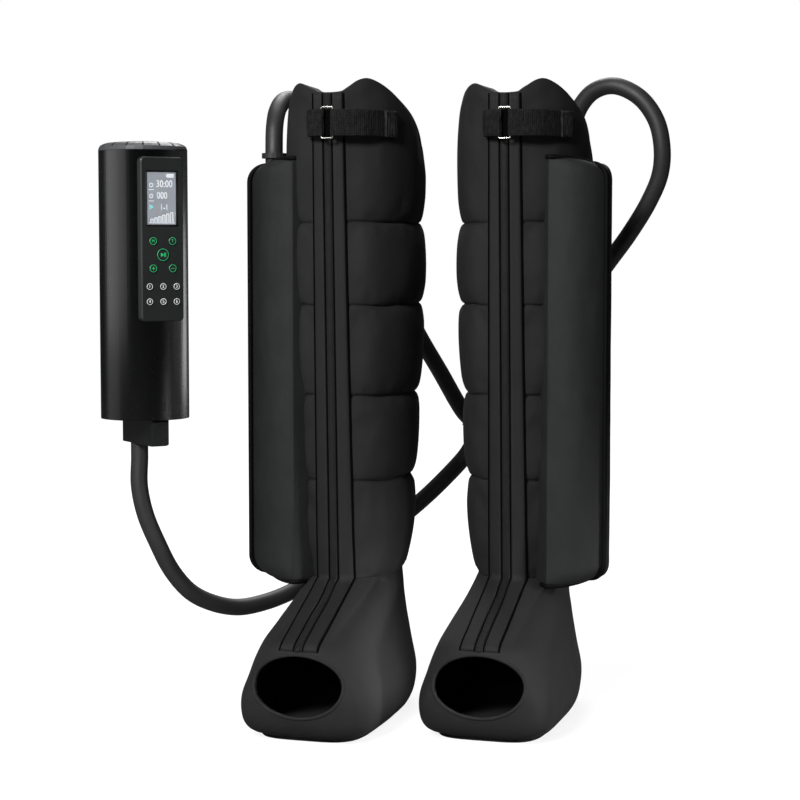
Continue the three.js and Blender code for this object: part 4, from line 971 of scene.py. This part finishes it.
def strap_stitching():
    """The box of short thread stitches at the strap's sewn end."""
    low, high = STRAP_Z - STRAP_HALF + 3, STRAP_Z + STRAP_HALF - 3
    side = []
    for degrees in [55.5, 50, 46.5]:
        _, normal = outline_point(section_at(STRAP_Z), degrees)
        side.append((strap_point(degrees, 5.6 + (55.5 - degrees) * 0.07), Vector((*normal, 0))))
    ring = [(Vector((*place, low)), normal) for place, normal in side]
    ring += [(Vector((*place, high)), normal) for place, normal in side[::-1]]
    ring.append(ring[0])
    points = []
    faces = []
    for centre, along, (normal, _), _ in places_along(ring, STITCH_GAP / 2, STITCH_GAP):
        across = along.cross(normal).normalized()
        at = len(points)
        for u, lift in ((-1, -0.25), (-0.6, 1), (0.6, 1), (1, -0.25)):
            for v in (-1, 1):
                thread = (across * v + normal * lift) * THREAD_RADIUS + normal * STITCH_LIFT
                points.append((centre + along * (STITCH_LONG / 2 * u) + thread) * MM)
        faces += [tuple(at + k for k in quad) for quad in STITCH_QUADS]
    return mesh_object("strap_stitching", points, faces, smooth=False)


def strap_ring():
    half_width = (RING_WIDTH - RING_WIRE) / 2
    half_height = (RING_HEIGHT - RING_WIRE) / 2
    corner = 1.4
    centre_y = ring_centre(1).y
    line = []
    for quarter, (sx, sz) in enumerate(((1, 1), (-1, 1), (-1, -1), (1, -1))):
        for step in range(5):
            angle = math.radians(90 * quarter + 22.5 * step)
            x = RING_X + sx * (half_width - corner) + corner * math.cos(angle)
            z = STRAP_Z + sz * (half_height - corner) + corner * math.sin(angle)
            line.append(Vector((x, centre_y, z)) * MM)
    return as_mesh(tube("strap_ring", line, RING_WIRE / 2 * MM, closed=True, sides=4))


# side covers
COVER_DEGREES = 60
COVER_LOW = 153
COVER_HIGH = 630
COVER_HALF = 31
COVER_REACH = 124
COVER_CORNER = 20
COVER_BASE = 58
COVER_SHOULDER = COVER_REACH - 1.2 * COVER_HALF
COVER_FLAP = 19.6
FLAP_DROP = 4.5
COVER_TURN = 108
COVER_SLOPE = 0.028
FRONT_RISE = 11
PIPING_RADIUS = 2.7


def cover_outline(z):
    """How far the cover draws back near its ends, where its corners are round."""
    into_corner = max(0.0, COVER_CORNER - min(z - COVER_LOW, COVER_HIGH - z))
    return COVER_CORNER - math.sqrt(max(0.0, COVER_CORNER ** 2 - into_corner ** 2))


def cover_point(side, aside, reach, z):
    """A point from its place across the cover, its reach from the leg's axis and its height."""
    turn = side * math.radians(COVER_DEGREES)
    # the ends slope outwards
    outward = min(1.0, max(0.0, 1 + side * aside / (COVER_HALF + COVER_FLAP)))
    middle = (COVER_LOW + COVER_HIGH) / 2
    z = middle + (z - middle) * (1 - COVER_SLOPE * outward ** 2)
    x = aside * math.cos(turn) + reach * math.sin(turn)
    y = aside * math.sin(turn) - reach * math.cos(turn)
    return Vector((x, y, z)) * MM


def cover_plan(draw, inset):
    """The cover in plan, from the flap's tip over its crown to its back edge."""
    half = COVER_HALF - inset
    crown = COVER_REACH - inset - draw - COVER_SHOULDER
    tip = (COVER_HALF + COVER_FLAP - 1.4 * inset, COVER_SHOULDER - FLAP_DROP)
    turn = math.radians(COVER_TURN)
    meet = (half * math.cos(turn), COVER_SHOULDER + crown * math.sin(turn))
    chord = Vector((meet[0] - tip[0], meet[1] - tip[1]))
    rise = Vector((chord.y, -chord.x)).normalized()
    rise *= FRONT_RISE * crown / (COVER_REACH - COVER_SHOULDER)
    flap = []
    for i in range(30):
        t = i / 30
        lift = 1 - (2 * t - 1) ** 2
        flap.append(lerp(Vector(tip), Vector(meet), t) + rise * lift)
    arc = []
    for i in range(11):
        angle = math.radians(lerp(COVER_TURN, 180, i / 10))
        arc.append((half * math.cos(angle), COVER_SHOULDER + crown * math.sin(angle)))
    back = [(-half, lerp(COVER_SHOULDER, COVER_BASE, i / 4)) for i in range(1, 5)]
    return [(tip[0] - 9, COVER_BASE), (tip[0] - 1.2, tip[1] - 4)] + flap + arc + back


COVER_ROWS = 110


def side_cover(side):
    """The cover over the air pipe: a rounded back, and a bowed front whose edge lies on the leg."""
    points = []
    for row in range(COVER_ROWS):
        share = row / (COVER_ROWS - 1)
        eased = 0.5 - 0.5 * math.cos(math.pi * share)
        z = lerp(COVER_LOW + 0.4, COVER_HIGH - 0.4, lerp(share, eased, 0.8))
        near = min(z - COVER_LOW, COVER_HIGH - z)
        plan = cover_plan(cover_outline(z), 0.8 + 2.6 * math.exp(-near / 2.2))
        columns = len(plan)
        for column, (aside, reach) in enumerate(plan):
            place = column / columns
            soft = noise.noise(Vector((place * 4.0, z * 0.009, 2.0 + side)))
            fine = noise.noise(Vector((place * 11.0, z * 0.035, 9.0 + side)))
            out = (0.7 * soft + 0.3 * fine - 0.6) if column > 2 else 0.0
            turn = min(1.0, max(0.0, (column - 14) / 14))
            aside += 0.72 * out * (1 - turn)
            points.append(cover_point(side, -side * aside, reach + lerp(0.7, 1, turn) * out, z))
    faces = grid_faces(COVER_ROWS, columns, closed=True)
    faces += [tuple(range(columns)), tuple(range((COVER_ROWS - 1) * columns, COVER_ROWS * columns))]
    cover = mesh_object("side_cover", points, faces)
    cover.data.set_sharp_from_angle(angle=math.radians(38))
    return cover


def cover_piping(side):
    """The piped seam round the cover's front: its top, its outer side and its bottom."""
    edge = COVER_REACH - 0.6
    low, high = COVER_LOW + 1.2, COVER_HIGH - 1.2
    front = [place for place in cover_plan(COVER_CORNER, 0.9)[2:] if place[0] > 0.6]
    start = (front[0][0] - 7, front[0][1] - 14), (front[0][0] - 1.5, front[0][1] - 3)
    along_end = [*start, *front[1:]]
    insets = [
        (COVER_CORNER * (1 - math.sin(turn)), COVER_CORNER * (1 - math.cos(turn)))
        for turn in (math.pi / 2 * k / 12 for k in range(13))
    ]
    line = [cover_point(side, -side * aside, reach, low) for aside, reach in along_end]
    line += [cover_point(side, 0, edge - back, low + up) for back, up in insets[1:]]
    straight = (lerp(low + COVER_CORNER, high - COVER_CORNER, k / 40) for k in range(1, 40))
    line += [cover_point(side, 0, edge, z) for z in straight]
    line += [cover_point(side, 0, edge - up, high - back) for back, up in insets]
    line += [cover_point(side, -side * aside, reach, high) for aside, reach in along_end[::-1]]
    return as_mesh(tube("cover_piping", line, PIPING_RADIUS * MM, sides=3))


# build both boots
leg = leg_skin()
close_wall(leg, WALL * MM)
foot, teeth, bed = foot_skin(), zip_teeth(), zip_bed()
common = [
    (leg, "leg_padding", CLOTH, "boot_cloth", ("leg_sleeve", "leg_air_chambers")),
    (foot, "foot_padding", FOOT_CLOTH, "boot_cloth", ("foot_shell",)),
    (toe_binding(), "toe_binding", FOOT_CLOTH, "piping", ()),
    (sole_sheet(), "sole", SOLE_CLOTH, "sole_cloth", ("sole_panel",)),
    (tape(-1), "tape_left", TAPE_CLOTH, "boot_cloth", ("zip_tape_left",)),
    (tape(1), "tape_right", TAPE_CLOTH, "boot_cloth", ("zip_tape_right",)),
    (placket_groove_shade(-1), "placket_groove_shade_left", SEAM, "piping", ()),
    (placket_groove_shade(1), "placket_groove_shade_right", SEAM, "piping", ()),
    (coil_gap_shade(-1), "coil_gap_shade_left", SEAM, "piping", ()),
    (coil_gap_shade(1), "coil_gap_shade_right", SEAM, "piping", ()),
    (teeth, "zip_teeth", ZIP, "zip_coil", ("zip_coil",)),
    (bed, "zip_bed", TAPE_CLOTH, "zip_coil", ()),
    (closing_strap(), "strap", WEBBING, "webbing", ("closing_strap",)),
    (strap_patch(), "strap_end", WEBBING_END, "webbing", ()),
    (strap_tab(), "tab", WEBBING, "webbing", ("strap_tab",)),
    (ring_shade_sheet(), "ring_shade_sheet", SEAM, "webbing", ()),
    (strap_stitching(), "strap_stitches", SOLE_CLOTH, "webbing", ()),
    (strap_ring(), "ring", STEEL, "steel", ("strap_ring",)),
]
for name, offset in BOOTS.items():
    side = -1 if name == "left" else 1
    own = [
        (side_cover(side), "side_padding", COVER_CLOTH, "boot_cloth", ("side_cover",)),
        (cover_piping(side), "side_piping", PIPING, "piping", ()),
    ]
    for place, (piece, label, material, slot, nodes) in enumerate(common + own):
        if name == "right" and place < len(common):
            piece = link(bpy.data.objects.new(label, piece.data.copy()))
        piece.data.transform(Matrix.Translation(offset))
        piece.name = f"{name}_{label}"
        finish_piece(piece, material, "boots", slot, [f"{name}_{node}" for node in nodes])

# CAD nodes that stay, with their materials
STAYING = [
    (AIR_PIPE, "left_air_pipe", "right_air_pipe"),
    (RUBBER, "left_hose_inlet", "right_hose_inlet", "hose_splitter"),
    (GUNMETAL, "left_zip_slider", "right_zip_slider", "left_zip_pull", "right_zip_pull"),
    (CASING, "controller_front_shell", "controller_rear_shell", "controller_base_socket"),
    (CASING, "inner_frame", "hose_plug"),
    (CAP, "controller_top_cap"),
    (PANEL, "control_panel"),
    (WINDOW.material, "display_window"),
    (MODULE, "display_module", "valve_manifold"),
    (BOARD, "circuit_board"),
    (CELLS, "battery_pack"),
    (STEEL, "air_pump", "charge_socket"),
]
for material, *names in STAYING:
    for name in names:
        paint(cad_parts[name], material)

# the control panel's marks, in the panel's own flat coordinates
CONTROLLER = Vector((-0.2324, -0.0733, 0))
YAW = math.radians(47.5)
SCREEN_DEPTH = 52.05
TO_PANEL = Matrix.Translation(CONTROLLER) @ Matrix.Rotation(YAW, 4, "Z")
BUTTONS = {  # place across and up, radius
    "button_mode": (-11.7, 537, 5), "button_time": (11.7, 537, 5), "button_play": (0, 521.7, 7.6),
    "button_plus": (-11.7, 506.5, 5), "button_minus": (11.7, 506.5, 5),
}
for number in range(6):
    height = (486.2, 469.3)[number // 3]
    BUTTONS[f"button_chamber_{number + 1}"] = (16.3 * (number % 3 - 1), height, 4.3)
BUTTON_FACE = 55.3


def on_panel(obj):
    obj.data.transform(TO_PANEL)
    return obj


def flat_shape(name, outlines, depth, thick):
    """Thin raised marks on the panel: each outline is a list of points across and up."""
    points = []
    faces = []
    for outline in outlines:
        at = len(points)
        count = len(outline)
        for y in (-depth - thick, -depth + 0.05):
            points += [Vector((x, y, z)) * MM for x, z in outline]
        faces += [tuple(range(at, at + count)), tuple(range(at + count, at + 2 * count))]
        faces += grid_faces(2, count, closed=True, offset=at)
    return on_panel(mesh_object(name, points, faces, smooth=False))


def flat_ring(name, x, z, outer, inner, depth, thick):
    count = 36
    points = []
    top = -depth - thick
    for radius, y in ((inner, -depth), (inner, top), (outer, top), (outer, -depth)):
        for i in range(count):
            angle = 2 * math.pi * i / count
            across, up = radius * math.cos(angle), radius * math.sin(angle)
            points.append(Vector((x + across, y, z + up)) * MM)
    faces = grid_faces(4, count, closed=True)
    for i in range(count):
        j = (i + 1) % count
        faces.append((3 * count + i, 3 * count + j, j, i))
    return on_panel(mesh_object(name, points, faces))


def flat_text(name, text, x, z, size, depth, thick, stretch=1.0):
    curve = bpy.data.curves.new(name, "FONT")
    curve.body = text
    curve.size = size * MM
    curve.align_x = "CENTER"
    curve.align_y = "CENTER"
    curve.extrude = thick / 2 * MM
    curve.resolution_u = 4
    obj = as_mesh(link(bpy.data.objects.new(name, curve)), smooth=False)
    place = Matrix.Translation(Vector((x, -depth - thick / 2, z)) * MM)
    stand = Matrix.Rotation(math.pi / 2, 4, "X")
    obj.data.transform(place @ stand @ Matrix.Diagonal((stretch, 1, 1, 1)))
    return on_panel(obj)


def rectangle(x0, z0, x1, z1):
    return [(x0, z0), (x1, z0), (x1, z1), (x0, z1)]


CAP_SLOTS = 16
BEVEL_FOOT = Vector((0, -50.5, 640.8))
BEVEL_INWARD = 16
BEVEL_RISE = 8
SLOT_HALF = 0.75
SLOT_PROUD = 0.12
SLOT_SUNK = 0.6


def cap_slots():
    """The air slots in the cap's bevel, drawn as thin dark inlays that follow its round profile:
    painted shade in the slots.
    """
    profile = []
    for degrees in range(24, 61, 6):
        cosine, sine = math.cos(math.radians(degrees)), math.sin(math.radians(degrees))
        spot = BEVEL_FOOT + Vector((0, BEVEL_INWARD * (1 - cosine), BEVEL_RISE * sine))
        profile.append((spot, Vector((0, -BEVEL_RISE * cosine, BEVEL_INWARD * sine)).normalized()))
    points = []
    faces = []
    for number in range(CAP_SLOTS):
        turn = Matrix.Rotation(2 * math.pi * number / CAP_SLOTS, 4, "Z")
        at = len(points)
        for spot, facing in profile:
            for way, lift in ((-1, -SLOT_SUNK), (-1, SLOT_PROUD), (1, SLOT_PROUD), (1, -SLOT_SUNK)):
                points.append(turn @ (spot + Vector((way * SLOT_HALF, 0, 0)) + facing * lift) * MM)
        faces += grid_faces(len(profile), 4, closed=True, offset=at)
        last = at + 4 * (len(profile) - 1)
        faces += [(at, at + 1, at + 2, at + 3), (last, last + 3, last + 2, last + 1)]
    return on_panel(mesh_object("cap_slots", points, faces, smooth=False))


finish_piece(cap_slots(), SLOT_SHADE, "controller", "casing")

SCREEN_HALF = 17.2
SCREEN_LOW, SCREEN_HIGH = 555.6, 613.6
SCREEN_THICK = 0.06
MARK_DEPTH = SCREEN_DEPTH + SCREEN_THICK
MARK_THICK = 0.08
DIGIT_THICK = 0.1
DIGIT_STRETCH = 0.82
DIGITS = [
    ("screen_time", "30:00", 3.4, 600.6, 11.0),
    ("screen_count", "000", 0.6, 587.6, 10.6),
    ("screen_level", "1-1", 3.0, 574.4, 9.8),
]
field = rectangle(-SCREEN_HALF, SCREEN_LOW, SCREEN_HALF, SCREEN_HIGH)
screen = flat_shape("screen", [field], SCREEN_DEPTH - 0.02, SCREEN_THICK)
finish_piece(screen, SCREEN, "controller", "module_grey")
marks = [flat_text(*digits, MARK_DEPTH, DIGIT_THICK, DIGIT_STRETCH) for digits in DIGITS]
bars = []
for i in range(6):
    left, top = -13.5 + 4.8 * i, 561 + 1.5 * i
    bars += [rectangle(left, 558.2, left + 0.9, top), rectangle(left + 2.6, 558.2, left + 3.5, top)]
    bars.append(rectangle(left, top, left + 3.5, top + 0.8))
battery = [rectangle(6.5, 608.2, 14.5, 611.8), rectangle(5.4, 609.3, 6.2, 610.7)]
lines = [rectangle(-15.5, 557.0, 15.5, 557.6)]
lines += [rectangle(-15.5, low, -9.5, low + 0.6) for low in (594.0, 581.4)]
marks.append(flat_shape("screen_bars", bars + battery + lines, MARK_DEPTH, MARK_THICK))
for number, (x, z) in enumerate([(-12.5, 599.4), (-12.5, 587.2)]):
    hand = rectangle(x - 0.25, z, x + 0.25, z + 1.6)
    marks.append(flat_ring(f"screen_dial_{number}", x, z, 2.5, 1.8, MARK_DEPTH, MARK_THICK))
    marks.append(flat_shape(f"screen_hand_{number}", [hand], MARK_DEPTH, MARK_THICK))
for mark in marks:
    finish_piece(mark, INK, "controller", "window")
steps = [
    rectangle(-14.6, 572.6, -13.4, 577.6),
    rectangle(-13, 573.4, -11.8, 576.8),
    rectangle(-11.4, 574.2, -10.4, 576),
]
tap = flat_shape("screen_tap", steps, MARK_DEPTH, MARK_THICK)
finish_piece(tap, TEAL, "controller", "window")

# the buttons' signs, from each button's centre
LETTERS = {"button_mode": ("M", 4.4), "button_time": ("T", 4.6)}
NUMBER_SIZE = 5.0
ARM, HALF_LINE = 2, 0.3
PLUS = [
    (-ARM, -HALF_LINE), (-HALF_LINE, -HALF_LINE), (-HALF_LINE, -ARM), (HALF_LINE, -ARM),
    (HALF_LINE, -HALF_LINE), (ARM, -HALF_LINE), (ARM, HALF_LINE), (HALF_LINE, HALF_LINE),
    (HALF_LINE, ARM), (-HALF_LINE, ARM), (-HALF_LINE, HALF_LINE), (-ARM, HALF_LINE),
]
PLAY = [(-2.6, -2.4), (1.2, 0), (-2.6, 2.4)]
PAUSE = [rectangle(1.5, -2.4, 2.2, 2.4), rectangle(2.8, -2.4, 3.5, 2.4)]
OUTLINES = {
    "button_play": [PLAY, *PAUSE],
    "button_plus": [PLUS],
    "button_minus": [rectangle(-ARM, -HALF_LINE, ARM, HALF_LINE)],
}
SIGN_THICK = 0.2
RING_THICK = 0.22
for name, (x, z, radius) in BUTTONS.items():
    paint(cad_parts[name], BUTTON)
    ring = flat_ring(name + "_ring", x, z, radius - 0.75, radius - 1.25, BUTTON_FACE, RING_THICK)
    if name in OUTLINES:
        moved = [[(x + across, z + up) for across, up in outline] for outline in OUTLINES[name]]
        sign = flat_shape(name + "_sign", moved, BUTTON_FACE, SIGN_THICK)
    else:
        letter, size = LETTERS.get(name, (name[-1], NUMBER_SIZE))
        sign = flat_text(name + "_sign", letter, x, z, size, BUTTON_FACE, SIGN_THICK)
    for mark in (ring, sign):
        finish_piece(mark, WHITE if name[-1].isdigit() else GREEN, name + "_key", "button")

# floor, lights and world: a white studio, where the camera sees white and the part sees soft lamps
FLOOR_HALF = 30
FLOOR_HEIGHT = -0.0005
square = rectangle(-FLOOR_HALF, -FLOOR_HALF, FLOOR_HALF, FLOOR_HALF)
corners = [(x, y, FLOOR_HEIGHT) for x, y in square]
floor = mesh_object("floor", corners, [(0, 1, 2, 3)])
FLOOR = Nodes("floor", (0.2, 0.2, 0.2), 0.8, Specular_IOR_Level=0.05)
FLOOR.bump(FLOOR.noise(3, 2), 0.0002, 0.1)
FLOOR.shader.inputs["Emission Color"].default_value = (1, 1, 1, 1)
from_middle = FLOOR.add("ShaderNodeVectorMath", operation="LENGTH")
FLOOR.wire(FLOOR.place.outputs["Object"], from_middle.inputs[0])
away = FLOOR.add("ShaderNodeMapRange")
away.interpolation_type = "SMOOTHSTEP"
for socket, value in (("From Min", 0.3), ("From Max", 1.2), ("To Min", 0.86), ("To Max", 1.0)):
    away.inputs[socket].default_value = value
FLOOR.wire(from_middle.outputs["Value"], away.inputs["Value"])
seen = FLOOR.add("ShaderNodeLightPath")
shown = FLOOR.add("ShaderNodeMath", operation="MULTIPLY")
FLOOR.wire(away.outputs["Result"], shown.inputs[0])
FLOOR.wire(seen.outputs["Is Camera Ray"], shown.inputs[1])
FLOOR.wire(shown.outputs[0], FLOOR.shader.inputs["Emission Strength"])
paint(floor, FLOOR.material)


CAMERA_BEARING = 72.5
MIDDLE_X = 0.05


def around(bearing, distance, height):
    """A place at a bearing from the camera's side of the part, in degrees to the right."""
    turn = math.radians(bearing - CAMERA_BEARING)
    return MIDDLE_X + distance * math.cos(turn), distance * math.sin(turn), height


def area_light(name, place, aim, size, power, spread=180):
    """A soft lamp that the camera doesn't see."""
    data = bpy.data.lights.new(name, "AREA")
    data.shape = "RECTANGLE"
    data.size, data.size_y = size
    data.energy = power
    data.spread = math.radians(spread)
    lamp = link(bpy.data.objects.new(name, data))
    lamp.location = place
    lamp.rotation_mode = "QUATERNION"
    lamp.rotation_quaternion = (Vector(aim) - lamp.location).to_track_quat("-Z", "Y")
    lamp.visible_camera = False
    return lamp


def flag(lamp, pieces, state="EXCLUDE"):
    """Keeps a lamp off some pieces, or on them alone, as flags and a snoot do in a studio."""
    group = bpy.data.collections.new(lamp.name + "_flag")
    for piece in pieces:
        group.objects.link(piece)
    for entry in group.collection_objects:
        entry.light_linking.link_state = state
    lamp.light_linking.receiver_collection = group
    if state == "INCLUDE":
        lamp.light_linking.blocker_collection = group


case = [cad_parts[name] for name in ("controller_front_shell", "controller_rear_shell")]
front = area_light("front", around(-26, 2.9, 1.9), (0.05, 0, 0.36), (0.7, 0.7), 132)
flag(front, case)
for name, place, size, power in (
    ("case_left", (-0.61, -0.4, 0.66), (0.6, 0.5), 1.3),
    ("case_right", (0.425, 0.384, 0.43), (1.1, 0.26), 3.2),
):
    flag(area_light(name, place, (-0.232, -0.073, place[2]), size, power), case, "INCLUDE")
left_lamp = area_light("left", around(-84, 1.9, 0.6), (-0.2, -0.05, 0.4), (1.3, 1.4), 3.6)
flag(left_lamp, [bpy.data.objects["left_side_padding"]])
area_light("low_right", around(62, 1.5, 0.3), (0.13, -0.06, 0.03), (0.3, 0.2), 0.4, 24)
area_light("between_boots", (0.107, -0.1, 0.095), (0, -0.1, 0.095), (0.15, 0.15), 0.085)
area_light("back", around(180, 2.2, 2.9), (0.05, 0, 0.3), (1.4, 1.4), 75)
area_light("top", around(0, 0.2, 3.0), (0.05, 0, 0), (1.6, 1.6), 12)

world = bpy.data.worlds.new("studio")
bpy.context.scene.world = world
world.use_nodes = True
backdrop = world.node_tree.nodes["Background"]
backdrop.inputs["Color"].default_value = (1, 1, 1, 1)
seen = world.node_tree.nodes.new("ShaderNodeLightPath")
strength = world.node_tree.nodes.new("ShaderNodeMapRange")
strength.inputs["To Min"].default_value = 0.05
strength.inputs["To Max"].default_value = 1.0
world.node_tree.links.new(seen.outputs["Is Camera Ray"], strength.inputs["Value"])
world.node_tree.links.new(strength.outputs["Result"], backdrop.inputs["Strength"])
bpy.context.scene.view_settings.view_transform = "Standard"
